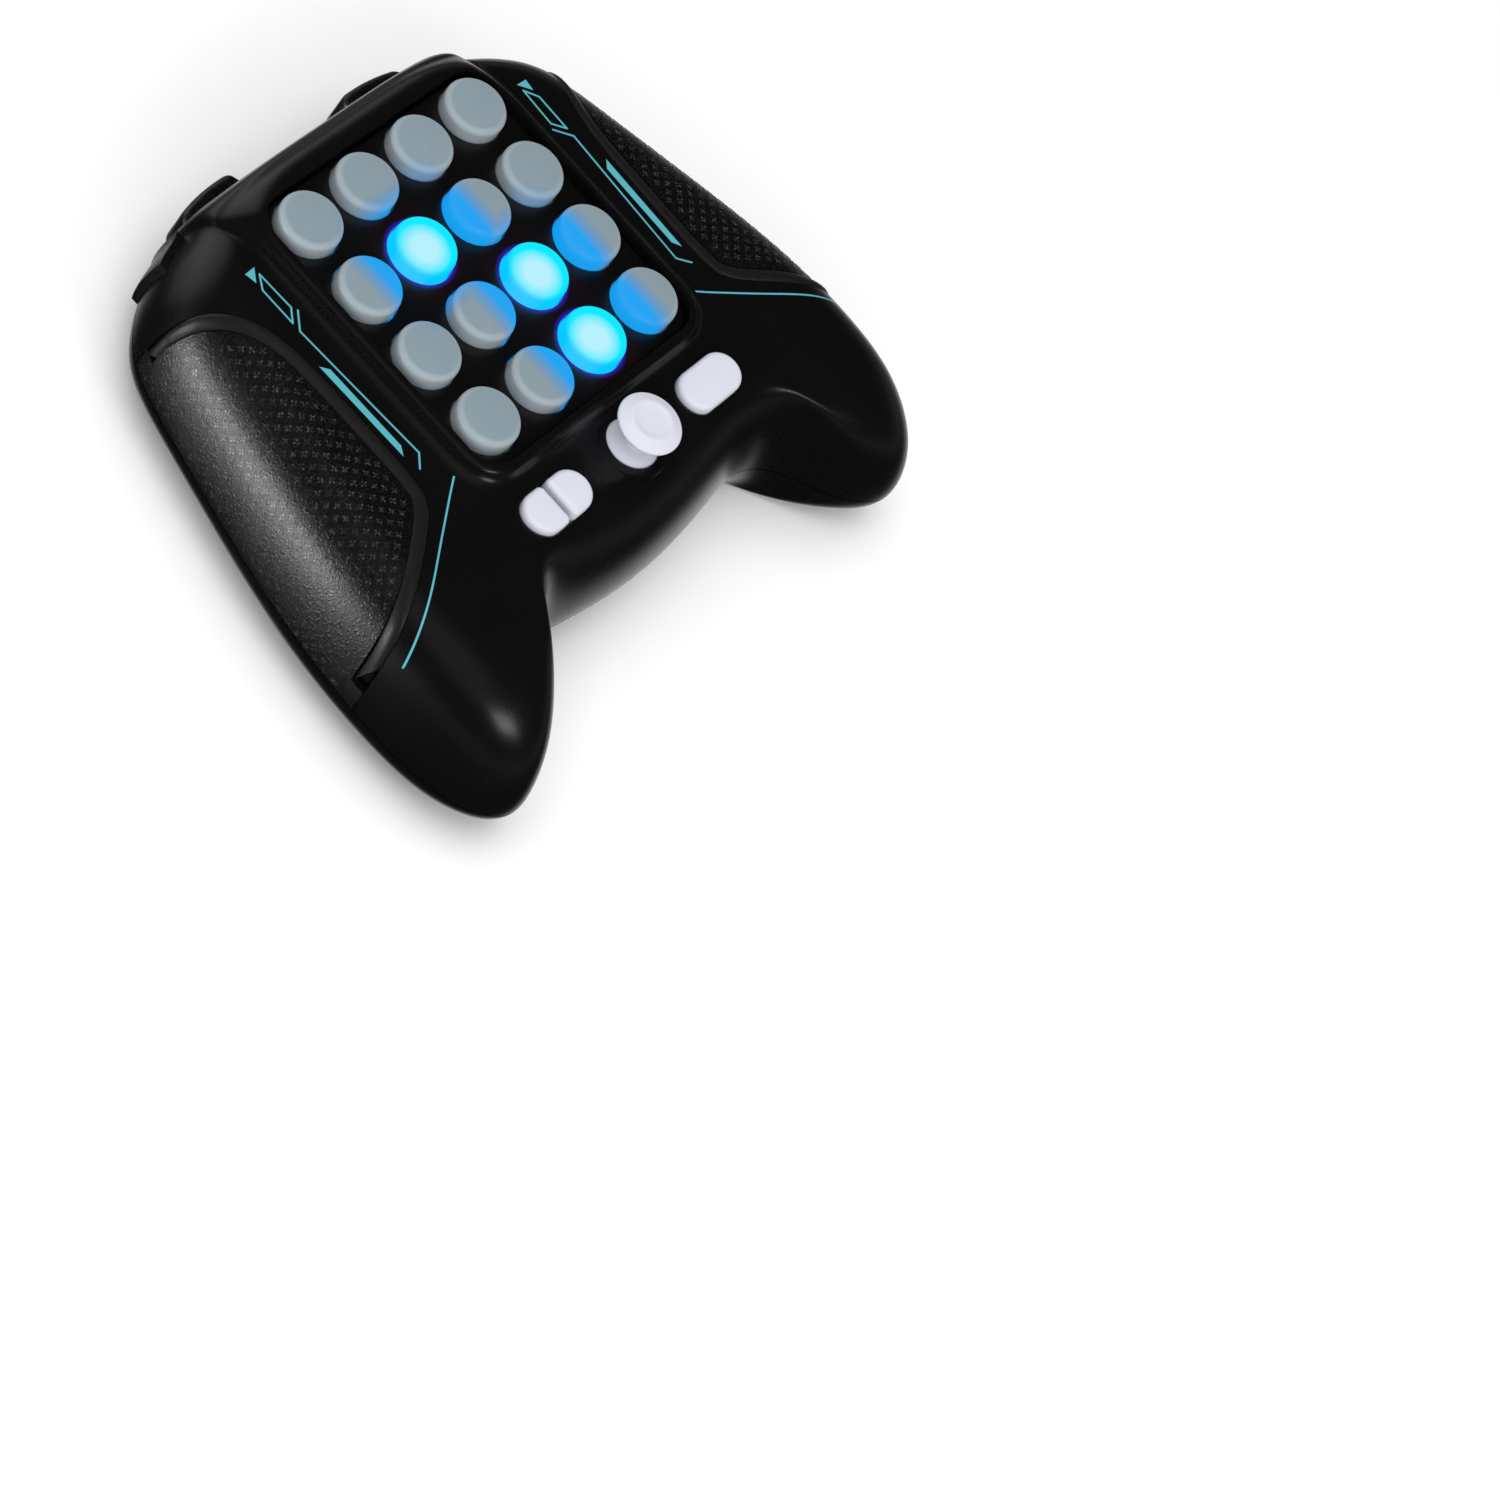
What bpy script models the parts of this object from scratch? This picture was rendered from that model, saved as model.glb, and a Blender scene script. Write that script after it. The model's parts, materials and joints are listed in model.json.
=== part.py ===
# Handheld electronic game shaped like a gamepad, lying on its back with its face up.
# Metres. +Z is up, +Y points to the back edge with the shoulder buttons, and the grips point to -Y.
# Heights are measured from the surface that it lies on. Plan positions are measured from the centre
# of the button grid, and one empty moves the whole model so that its box is centred on the origin.
import math

import bpy
import bmesh
from mathutils import Matrix, Vector

# Housing, overall
HALF_WIDTH = 0.0625
BACK_REACH = 0.0362
FRONT_REACH = 0.0704
PARTING_HEIGHT = 0.0090
WALL = 0.0028
CLEARANCE = 0.0003
OVERRUN = 0.0020
BASE_TRIM = 0.0004
SLIT_SIDES = 6

# Button grid and its panel
GRID_COUNT = 4
BUTTON_PITCH = 0.0140
BUTTON_RADIUS = 0.00557
BUTTON_EDGE = 0.0012
BUTTON_RISE = 0.0030
BUTTON_DOME = 0.0002
BUTTON_TRAVEL = 0.0012
BUTTON_FLANGE = 0.0007
BUTTON_FLANGE_HEIGHT = 0.0010
BUTTON_FOOT = 0.0038
BUTTON_SIDES = 16
PANEL_HEIGHT = 0.0300
PANEL_THICKNESS = 0.0016
PANEL_SIDE_MARGIN = 0.0010
PANEL_END_MARGIN = 0.0012
PANEL_CORNER = 0.0050
PANEL_SHIFT = -0.0005
LEDGE = 0.0013

# Plateau round the panel
RIM_WIDTH = 0.0008
RIM_RISE = 0.0018
RISER_WIDTH = 0.0010
RISER_FOOT = 0.0010
WING_DROP = 0.0008

# Keys and thumbstick, in a row in front of the panel
KEY_ROW = 0.0380
KEY_WIDTH = 0.0076
KEY_RISE = 0.0015
KEY_TRAVEL = 0.0010
KEY_EDGE = 0.0006
KEY_CORNER = 0.0013
START_KEY_LENGTH = 0.0134
START_KEY_X = 0.0210
HALF_KEY_LENGTH = 0.0068
HALF_KEY_GAP = 0.0011
HALF_KEYS_X = -0.0202
KEY_FLANGE = 0.0006
KEY_FLANGE_HEIGHT = 0.0010
KEY_FLANGE_DEPTH = 0.0056
KEY_FOOT_RADIUS = 0.0018
STICK_CAP_RADIUS = 0.00575
STICK_CAP_HEIGHT = 0.0018
STICK_CAP_TOP = 0.0068
STICK_DISH_RADIUS = 0.0036
STICK_DISH_DEPTH = 0.0007
STICK_NECK_RADIUS = 0.0027
STICK_SKIRT_RADIUS = 0.0072
STICK_SKIRT_WALL = 0.0009
STICK_SKIRT_EDGE = 0.0032
STICK_PIVOT_DEPTH = 0.0056
STICK_BOSS_RADIUS = 0.0022
STICK_BOSS_DROP = 0.0019
STICK_PIN_RADIUS = 0.0006
GIMBAL_HALF = 0.0044
GIMBAL_WALL = 0.0012
GIMBAL_HALF_HEIGHT = 0.0011
POST_GAP = 0.0004
POST_THICKNESS = 0.0011
POST_HALF_WIDTH = 0.00125
POST_RISE = 0.00115
MODULE_BASE = 0.0012

# Grip panels
GRIP_PANEL_SINK = 0.00035
GRIP_PANEL_THICKNESS = 0.0011
GRIP_FLOOR_SINK = 0.00175

# Shoulder buttons and triggers in the back edge
SHOULDER_X = 0.0209
SHOULDER_WIDTH = 0.0146
SHOULDER_PROUD = 0.0023
SHOULDER_PEAK_SHARE = 0.50
SHOULDER_FALL = 0.0016
SHOULDER_STEPS = 6
SHOULDER_TOP = 0.0172
SHOULDER_HEIGHT = 0.0090
SHOULDER_DEPTH = 0.0066
SHOULDER_ROUND = 0.0020
SHOULDER_TRAVEL = 0.0012
TRIGGER_X = 0.0347
TRIGGER_WIDTH = 0.0070
TRIGGER_PROUD = 0.0013
TRIGGER_TOP = 0.0178
TRIGGER_HEIGHT = 0.0116
TRIGGER_DEPTH = 0.0060

# Circuit boards and what they carry
BOARD_TOP = 0.0195
BOARD_THICKNESS = 0.0016
BOARD_HALF_WIDTH = 0.0310
BOARD_BACK_MARGIN = 0.0077
BOARD_FRONT_MARGIN = 0.0084
BOARD_CORNER = 0.0030
MAT_THICKNESS = 0.0006
MAT_HOLE = 0.0020
MAT_SIDES = 10
LED_SIZE = 0.0024
LED_HEIGHT = 0.0011
BOARD_POST_RADIUS = 0.0022
BOARD_POST_X = 0.0290
BOARD_POST_Y = 0.0215
SWITCH_BOARD_WIDTH = 0.0210
SWITCH_BOARD_HEIGHT = 0.0095
SWITCH_BOARD_LOW = 0.0070
SWITCH_BOARD_THICKNESS = 0.0012
SWITCH_BOARD_X = 0.0258
SWITCH_SIZE = 0.0040
SWITCH_DEPTH = 0.0022

# Batteries, size AAA, and their box
CELL_RADIUS = 0.00525
CELL_LENGTH = 0.0438
CELL_NUB_RADIUS = 0.0019
CELL_NUB_HEIGHT = 0.0008
CELL_PITCH = 0.0110
CELL_COUNT = 3
CELL_ROW_Y = -0.0010
CONTACT_THICKNESS = 0.0005
CONTACT_SPRING_LENGTH = 0.0016
CONTACT_SPRING_RADIUS = 0.0026
CONTACT_SPRING_TIP = 0.0014
BOX_WALL = 0.0014
BOX_CEILING = 0.0012
DOOR_THICKNESS = 0.0018
DOOR_LIP = 0.0016
DOOR_RIB = 0.0010
DOOR_SCREW_EAR = 0.0046

# Speaker
SPEAKER_Y = -0.0292
SPEAKER_RADIUS = 0.0085
SPEAKER_LOW = 0.0037
SPEAKER_CUP_HEIGHT = 0.0020
SPEAKER_CUP_WALL = 0.0017
SPEAKER_HEIGHT = 0.0046
SPEAKER_MAGNET_RADIUS = 0.0050
SPEAKER_MAGNET_HEIGHT = 0.0022
GRILLE_PITCH = 0.0034
GRILLE_HOLE_RADIUS = 0.0009

# Screws
SCREW_RADIUS = 0.0012
SCREW_HEAD_RADIUS = 0.0023
SCREW_HEAD_HEIGHT = 0.0014
SCREW_POST_RADIUS = 0.0032
SCREW_FLOOR = 0.0020
SCREW_BITE = 0.0070
SCREW_SIDES = 12
SCREW_PLACES_SHARES = ((0.61, 0.40), (0.75, -0.44))
BOARD_SCREW_LENGTH = 0.0050
BOARD_SCREW_RADIUS = 0.0008
BOARD_SCREW_HEAD_RADIUS = 0.0016
BOARD_SCREW_HEAD_HEIGHT = 0.0010

# One ray of the housing a row, from the middle of the back edge round the right side to the middle of
# the front edge: where it leaves the panel's outline, as shares of the panel's half sides, where it meets
# the housing's outline, as shares of HALF_WIDTH and of the reach to the back or the front, and how far in
# the side's rounding reaches, as a share of SECTION_REACH.
RAY_SHARES = (
    (0.00, 1.00, 0.000, 0.992, 1.00),
    (0.38, 1.00, 0.192, 0.992, 1.00),
    (0.68, 1.00, 0.344, 0.992, 1.00),
    (0.93, 1.00, 0.462, 0.997, 1.00),
    (1.00, 0.95, 0.496, 0.934, 1.00),
    (1.00, 0.83, 0.595, 0.890, 0.81),
    (1.00, 0.68, 0.699, 0.779, 0.93),
    (1.00, 0.50, 0.782, 0.630, 1.00),
    (1.00, 0.28, 0.834, 0.387, 1.04),
    (1.00, 0.04, 0.880, 0.083, 1.04),
    (1.00, -0.20, 0.930, -0.139, 1.06),
    (1.00, -0.42, 0.971, -0.320, 1.06),
    (1.00, -0.60, 0.995, -0.497, 1.07),
    (1.00, -0.75, 1.000, -0.675, 1.18),
    (1.00, -0.86, 0.982, -0.835, 1.38),
    (1.00, -0.94, 0.918, -0.956, 1.79),
    (1.00, -1.00, 0.824, -1.000, 1.95),
    (0.94, -1.00, 0.726, -0.956, 1.79),
    (0.87, -1.00, 0.659, -0.886, 1.38),
    (0.80, -1.00, 0.606, -0.807, 1.14),
    (0.68, -1.00, 0.536, -0.741, 1.02),
    (0.53, -1.00, 0.437, -0.719, 1.02),
    (0.36, -1.00, 0.296, -0.736, 1.10),
    (0.18, -1.00, 0.144, -0.753, 1.14),
    (0.00, -1.00, 0.000, -0.759, 1.14),
)
# The plateau wraps over the back edge as a raised band on these first rays: the top and the foot of its
# riser, as shares of the plateau's half width, of BACK_REACH, and of the drop from the rim to the seam.
BAND_SHARES = (
    (0.000, 0.865, 0.031, 0.000, 0.912, 0.154),
    (0.380, 0.865, 0.031, 0.380, 0.912, 0.154),
    (0.665, 0.854, 0.035, 0.681, 0.898, 0.158),
    (0.887, 0.807, 0.070, 0.959, 0.856, 0.197),
    (0.962, 0.746, 0.101, 1.021, 0.812, 0.237),
    (0.962, 0.674, 0.066, 1.017, 0.696, 0.145),
)
# Rings between the plateau's foot and the outline, and between the flat underside and the outline
TOP_RING_SHARES = (0.20, 0.42, 0.64, 0.82, 0.94)
UNDER_RING_SHARES = (0.55, 0.80, 0.94)
UNDER_FLAT_SHARE = 0.80
SECTION_REACH = 0.0123
# Outline of a grip panel in plan, as shares of HALF_WIDTH and of BACK_REACH or FRONT_REACH
GRIP_PANEL_SHARES = (
    (0.608, -0.330),
    (0.606, -0.130),
    (0.608, 0.000),
    (0.620, 0.180),
    (0.642, 0.300),
    (0.679, 0.405),
    (0.736, 0.490),
    (0.807, 0.540),
    (1.063, 0.560),
    (1.063, -0.620),
    (0.886, -0.530),
    (0.708, -0.425),
    (0.640, -0.378),
)


def named_material(name, colour, roughness, metallic=0.0, alpha=1.0):
    made = bpy.data.materials.new(name)
    made.use_nodes = True
    shader = made.node_tree.nodes["Principled BSDF"]
    shader.inputs["Base Color"].default_value = (*colour, 1.0)
    shader.inputs["Roughness"].default_value = roughness
    shader.inputs["Metallic"].default_value = metallic
    shader.inputs["Alpha"].default_value = alpha
    made.diffuse_color = (*colour, alpha)
    return made


def clear_scene():
    for each in list(bpy.data.objects):
        bpy.data.objects.remove(each)
    parts = bpy.data.collections.new("handheld_electronic_game")
    cutters = bpy.data.collections.new("cutters")
    cutters.hide_render = True
    for group in (parts, cutters):
        bpy.context.scene.collection.children.link(group)
    return parts, cutters


PARTS, CUTTERS = clear_scene()
FRAME = bpy.data.objects.new("frame", None)
PARTS.objects.link(FRAME)
FRAME.location = (0, (FRONT_REACH - BACK_REACH - SHOULDER_PROUD) / 2, 0)
FRAME.hide_render = True

BLACK = named_material("housing_black", (0.012, 0.012, 0.013), 0.38)
PANEL_BLACK = named_material("panel_black", (0.008, 0.008, 0.010), 0.30)
GRIP_BLACK = named_material("grip_black", (0.014, 0.014, 0.015), 0.60)
FROSTED = named_material("frosted_button", (0.42, 0.47, 0.50), 0.45)
WHITE = named_material("white_key", (0.78, 0.78, 0.84), 0.40)
BOARD_GREEN = named_material("board_green", (0.02, 0.13, 0.06), 0.50)
MAT_GREY = named_material("mat_grey", (0.55, 0.57, 0.58), 0.70)
STEEL = named_material("steel", (0.60, 0.60, 0.62), 0.30, 1.0)
CELL_SLEEVE = named_material("cell_sleeve", (0.10, 0.22, 0.42), 0.35, 0.3)
DARK_PLASTIC = named_material("dark_plastic", (0.03, 0.03, 0.03), 0.60)


def new_object(name, mesh, material=None, place=(0, 0, 0)):
    """A part when it has a material, and otherwise a cutter."""
    made = bpy.data.objects.new(name, mesh)
    made.parent = FRAME
    made.location = place
    if material is None:
        CUTTERS.objects.link(made)
        made.hide_render = True
        made.display_type = "WIRE"
    else:
        PARTS.objects.link(made)
        mesh.materials.append(material)
    return made


def finish(bm, name, material=None, place=(0, 0, 0), smooth_angle=math.radians(35), outward=True):
    if outward:
        bmesh.ops.recalc_face_normals(bm, faces=bm.faces[:])
    mesh = bpy.data.meshes.new(name)
    bm.to_mesh(mesh)
    bm.free()
    mesh.shade_smooth()
    mesh.set_sharp_from_angle(angle=smooth_angle)
    return new_object(name, mesh, material, place)


def add_box(bm, low, high):
    middle = [(a + b) / 2 for a, b in zip(low, high)]
    size = [b - a for a, b in zip(low, high)]
    matrix = Matrix.Translation(middle) @ Matrix.Diagonal((*size, 1))
    return bmesh.ops.create_cube(bm, size=1, matrix=matrix)["verts"]


def box(name, low, high, material=None, place=(0, 0, 0)):
    bm = bmesh.new()
    add_box(bm, low, high)
    return finish(bm, name, material, place)


def add_cylinder(bm, radius, low, high, sides, centre=(0, 0), axis="Z"):
    matrix = Matrix.Translation((centre[0], centre[1], (low + high) / 2))
    if axis == "X":
        matrix = Matrix.Translation(((low + high) / 2, *centre)) @ Matrix.Rotation(math.pi / 2, 4, "Y")
    if axis == "Y":
        matrix = Matrix.Translation((centre[0], (low + high) / 2, centre[1]))
        matrix = matrix @ Matrix.Rotation(math.pi / 2, 4, "X")
    return bmesh.ops.create_cone(bm, cap_ends=True, segments=sides, radius1=radius, radius2=radius,
                                 depth=high - low, matrix=matrix)["verts"]


def cylinder(name, radius, low, high, sides, centre=(0, 0), axis="Z", material=None, place=(0, 0, 0)):
    bm = bmesh.new()
    add_cylinder(bm, radius, low, high, sides, centre, axis)
    return finish(bm, name, material, place)


def extruded(name, outline, low, high, material=None, place=(0, 0, 0), rounding=0.0):
    """A plan outline drawn up from low to high, with its upper edge rounded."""
    bm = bmesh.new()
    face = bm.faces.new([bm.verts.new((x, y, low)) for x, y in outline])
    top = bmesh.ops.extrude_face_region(bm, geom=[face])["geom"]
    raised = [each for each in top if isinstance(each, bmesh.types.BMVert)]
    bmesh.ops.translate(bm, vec=(0, 0, high - low), verts=raised)
    if rounding:
        edges = [each for each in bm.edges if all(v in raised for v in each.verts)]
        bmesh.ops.bevel(bm, geom=edges, offset=rounding, segments=2, profile=0.5, affect="EDGES")
    return finish(bm, name, material, place)


def turned(name, profile, sides, material=None, place=(0, 0, 0)):
    """Radius and height pairs turned round Z, from the bottom's middle up the outside to the top's."""
    bm = bmesh.new()
    verts = [bm.verts.new((radius, 0, height)) for radius, height in reversed(profile)]
    for first, second in zip(verts, verts[1:]):
        bm.edges.new((first, second))
    mesh = bpy.data.meshes.new(name)
    bm.to_mesh(mesh)
    bm.free()
    made = new_object(name, mesh, material, place)
    screw = made.modifiers.new("turn", "SCREW")
    screw.steps = sides
    screw.render_steps = sides
    screw.use_merge_vertices = True
    screw.merge_threshold = CLEARANCE / 30
    screw.use_smooth_shade = True
    return made


def combine(target, operation, tool):
    """Joins, cuts or keeps with another object, or with all the objects of a collection."""
    modifier = target.modifiers.new(operation.lower(), "BOOLEAN")
    modifier.operation = operation
    modifier.solver = "EXACT"
    if isinstance(tool, bpy.types.Collection):
        modifier.operand_type = "COLLECTION"
        modifier.collection = tool
    else:
        modifier.object = tool
    return target


def settled(target):
    """Writes the object's modifiers into its mesh, so that the shapes cut with it stay quick."""
    bpy.context.view_layer.update()
    graph = bpy.context.evaluated_depsgraph_get()
    mesh = bpy.data.meshes.new_from_object(target.evaluated_get(graph))
    target.modifiers.clear()
    target.data = mesh
    bm = bmesh.new()
    bm.from_mesh(mesh)
    slits = [edge for edge in bm.edges if len(edge.link_faces) == 1]
    if slits:
        bmesh.ops.holes_fill(bm, edges=slits, sides=SLIT_SIDES)
        bm.to_mesh(mesh)
    bm.free()
    return target


def grouped(name, members):
    """A collection of cutters that one Boolean uses together."""
    group = bpy.data.collections.new(name)
    CUTTERS.children.link(group)
    for each in members:
        group.objects.link(each)
        CUTTERS.objects.unlink(each)
    return group


def rounded(share_x, share_y, half_x, half_y, corner):
    """A point of a rectangle with round corners, from its place on the square-cornered one."""
    point = Vector((share_x * half_x, share_y * half_y))
    inner = Vector((max(corner - half_x, min(half_x - corner, point.x)),
                    max(corner - half_y, min(half_y - corner, point.y))))
    out = point - inner
    return inner + out.normalized() * corner if out.length > 0 else point


def rounded_outline(half_x, half_y, corner, steps=6, centre=(0, 0)):
    outline = []
    for turn, (sign_x, sign_y) in enumerate(((1, 1), (-1, 1), (-1, -1), (1, -1))):
        for step in range(steps + 1):
            angle = math.pi / 2 * (turn + step / steps)
            outline.append((centre[0] + sign_x * (half_x - corner) + corner * math.cos(angle),
                            centre[1] + sign_y * (half_y - corner) + corner * math.sin(angle)))
    return outline


PANEL_HALF_X = BUTTON_PITCH * (GRID_COUNT - 1) / 2 + BUTTON_RADIUS + PANEL_SIDE_MARGIN
PANEL_HALF_Y = BUTTON_PITCH * (GRID_COUNT - 1) / 2 + BUTTON_RADIUS + PANEL_END_MARGIN
PANEL_UNDERSIDE = PANEL_HEIGHT - PANEL_THICKNESS
LEDGE_HEIGHT = PANEL_UNDERSIDE - CLEARANCE
RIM_HEIGHT = PANEL_HEIGHT + RIM_RISE
WING_HEIGHT = PANEL_HEIGHT - WING_DROP
PLATEAU_REACH = CLEARANCE + RIM_WIDTH + RISER_WIDTH + RISER_FOOT
STICK_PIVOT = PANEL_HEIGHT - STICK_PIVOT_DEPTH
KEY_TOP = WING_HEIGHT + KEY_RISE
TRIGGER_BACK = BACK_REACH * RAY_SHARES[5][3] - TRIGGER_DEPTH
BOARD_BACK = BACK_REACH - BOARD_BACK_MARGIN
BOARD_FRONT = FRONT_REACH * -RAY_SHARES[-1][3] - BOARD_FRONT_MARGIN
WING_CEILING = WING_HEIGHT - WALL


def mirrored_loop(half):
    """The half outline and its mirror image, as one closed loop."""
    back = [Vector((-p[0], *p[1:])) for p in reversed(half[1:-1])]
    return [Vector(p) for p in half] + back


def inward(loop, distance):
    """The outline moved in square to itself."""
    moved = []
    for index, point in enumerate(loop):
        along = loop[(index + 1) % len(loop)] - loop[index - 1]
        square = Vector((along.y, -along.x)).normalized()
        moved.append(Vector((point.x, point.y)) + square * distance)
    return moved


def outline_loop(inset):
    half = []
    for _, _, x, y, *_ in RAY_SHARES:
        half.append(Vector((x * HALF_WIDTH, y * (BACK_REACH if y > 0 else FRONT_REACH))))
    return inward(mirrored_loop(half), inset)


def reach_loop():
    half = [reach * SECTION_REACH for *_, reach in RAY_SHARES]
    return half + half[-2:0:-1]


def panel_loop(out, height, share=1.0):
    """A loop round the panel's outline, moved out from it."""
    half = []
    for x, y, *_ in RAY_SHARES:
        point = rounded(x, y, PANEL_HALF_X * share + out, PANEL_HALF_Y * share + out, PANEL_CORNER + out)
        half.append(Vector((point.x, point.y + PANEL_SHIFT, height)))
    return mirrored_loop(half)


def plateau_loops():
    """The top and the foot of the plateau's riser, carried over the back edge."""
    tops = panel_loop(PLATEAU_REACH - RISER_FOOT, RIM_HEIGHT - RIM_RISE / 4)
    feet = panel_loop(PLATEAU_REACH, WING_HEIGHT)
    half_width = PANEL_HALF_X + PLATEAU_REACH
    drop = RIM_HEIGHT - PARTING_HEIGHT
    for index, shares in enumerate(BAND_SHARES):
        for loop, (x, y, z) in ((tops, shares[:3]), (feet, shares[3:])):
            place = Vector((x * half_width, y * BACK_REACH, RIM_HEIGHT - z * drop))
            loop[index] = place
            if index:
                loop[-index] = Vector((-place.x, place.y, place.z))
    return tops, feet


def side_rings(inner, outline, shares):
    """Rings from an inner loop out towards the outline: flat at first, and then a quarter ellipse."""
    rings = []
    for share in shares:
        ring = []
        for start, end, reach in zip(inner, outline, reach_loop()):
            flat = Vector((start.x, start.y))
            place = flat.lerp(Vector((end.x, end.y)), share)
            distance = (end - flat).length
            reach = min(reach, distance)
            turn = max(0, reach - distance * (1 - share)) / reach
            height = PARTING_HEIGHT + (start.z - PARTING_HEIGHT) * math.sqrt(1 - turn * turn)
            ring.append(Vector((place.x, place.y, height)))
        rings.append(ring)
    return rings


def swell(rings, first):
    """Moves cage points out so that the smoothed surface passes near where they were."""
    grown = [[p.copy() for p in ring] for ring in rings]
    for i, ring in enumerate(rings):
        for k, point in enumerate(ring):
            around = ring[k - 1] + ring[(k + 1) % len(ring)]
            grown[i][k] += (2 * point - around) / 6
            if first <= i < len(rings) - 1:
                across = rings[i - 1][k] + rings[i + 1][k]
                grown[i][k] += (2 * point - across) / 6
    return grown


def housing_rings(inset, plateau):
    """The cage's rings from the plateau's top, or from its foot, round to the underside."""
    tops, feet = plateau_loops()
    feet = [Vector((p.x, p.y, p.z - inset)) for p in feet]
    outline = outline_loop(inset)
    edge = [Vector((p.x, p.y, PARTING_HEIGHT)) for p in outline]
    flat = panel_loop(-inset, inset - BASE_TRIM, UNDER_FLAT_SHARE)
    under = side_rings(flat, outline, UNDER_RING_SHARES)
    start = [feet]
    if plateau:
        rim = panel_loop(CLEARANCE + RIM_WIDTH, RIM_HEIGHT)
        start = [panel_loop(-LEDGE, RIM_HEIGHT), rim, tops, feet]
    return start + side_rings(feet, outline, TOP_RING_SHARES) + [edge] + under[::-1] + [flat]


def loft(name, rings, sharp_rings=(), levels=1):
    """A closed skin over the rings, capped at both ends and smoothed by subdivision."""
    bm = bmesh.new()
    sharp = bm.edges.layers.float.new("crease_edge")
    loops = [[bm.verts.new(p) for p in ring] for ring in rings]
    for upper, lower in zip(loops, loops[1:]):
        for k in range(len(upper)):
            after = (k + 1) % len(upper)
            bm.faces.new((upper[k], upper[after], lower[after], lower[k]))
    bm.faces.new(reversed(loops[0]))
    bm.faces.new(loops[-1])
    for index in sharp_rings:
        for k, vert in enumerate(loops[index]):
            bm.edges.get((vert, loops[index][k - 1]))[sharp] = 1
    if bm.calc_volume(signed=True) < 0:
        bmesh.ops.reverse_faces(bm, faces=bm.faces[:])
    made = finish(bm, name, outward=False)
    if levels:
        smooth = made.modifiers.new("smooth", "SUBSURF")
        smooth.levels = levels
        smooth.render_levels = levels
        smooth.use_limit_surface = True
        settled(made)
    return made


def housing_body(name, inset, plateau=False, levels=1):
    rings = housing_rings(inset, plateau)
    first = 4 if plateau else 1
    return loft(name, swell(rings, first) if levels else rings, (0,) if plateau else (), levels)


def grip_panel_prism(name, side, low, high, out=0.0):
    half = []
    for x, y in GRIP_PANEL_SHARES:
        half.append(Vector((side * x * HALF_WIDTH, y * (BACK_REACH if y > 0 else FRONT_REACH))))
    centre = sum(half, Vector((0, 0))) / len(half)
    outline = [p + (p - centre).normalized() * out for p in half]
    return extruded(name, outline, low, high)


def grid_places():
    middle = (GRID_COUNT - 1) / 2
    for row in range(GRID_COUNT):
        for column in range(GRID_COUNT):
            yield row, column, (column - middle) * BUTTON_PITCH, (middle - row) * BUTTON_PITCH


def half_key_centres():
    step = (HALF_KEY_LENGTH + HALF_KEY_GAP) / 2
    return HALF_KEYS_X - step, HALF_KEYS_X + step


def pill_outline(length, width, ends=(1, 1), corner=KEY_CORNER, out=0.0, steps=6):
    """A bar with a round end where ends says 1, and a square end with small corners where it says 0."""
    half = length / 2 + out
    outline = []
    for sign, round_end in ((1, ends[1]), (-1, ends[0])):
        radius = (width / 2 if round_end else corner) + out
        for part in range(2):
            middle = sign * (half - radius), (part * 2 - 1) * sign * (width / 2 + out - radius)
            for step in range(steps + 1):
                angle = math.pi / 2 * (part - 1 + step / steps)
                if sign < 0:
                    angle += math.pi
                outline.append((middle[0] + radius * math.cos(angle), middle[1] + radius * math.sin(angle)))
    clean = [outline[0]]
    for point in outline[1:]:
        if math.dist(point, clean[-1]) > CLEARANCE / 10:
            clean.append(point)
    if math.dist(clean[0], clean[-1]) <= CLEARANCE / 10:
        clean.pop()
    return clean


def cut_block(name, low, high, x, half_width, y_from, y_to):
    return box(name, (x - half_width, y_from, low), (x + half_width, y_to, high))


def shoulder_windows(side):
    """Openings in the back wall for a shoulder button and a trigger."""
    cutters = []
    for label, x, width, top, height in (
        ("shoulder", SHOULDER_X, SHOULDER_WIDTH, SHOULDER_TOP, SHOULDER_HEIGHT),
        ("trigger", TRIGGER_X, TRIGGER_WIDTH, TRIGGER_TOP, TRIGGER_HEIGHT),
    ):
        low = max(top - height - CLEARANCE, 0)
        cutters.append(cut_block(f"{label}_window_{side}", low, top + CLEARANCE, side * x,
                                 width / 2 + CLEARANCE, BACK_REACH / 2, BACK_REACH + OVERRUN))
    return cutters


def screw_places():
    for x, y in SCREW_PLACES_SHARES:
        for side in (-1, 1):
            yield side * x * HALF_WIDTH, y * (BACK_REACH if y > 0 else FRONT_REACH)


def board_post_places():
    for x in (-BOARD_POST_X, BOARD_POST_X):
        for y in (-BOARD_POST_Y, BOARD_POST_Y):
            yield x, y


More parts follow.
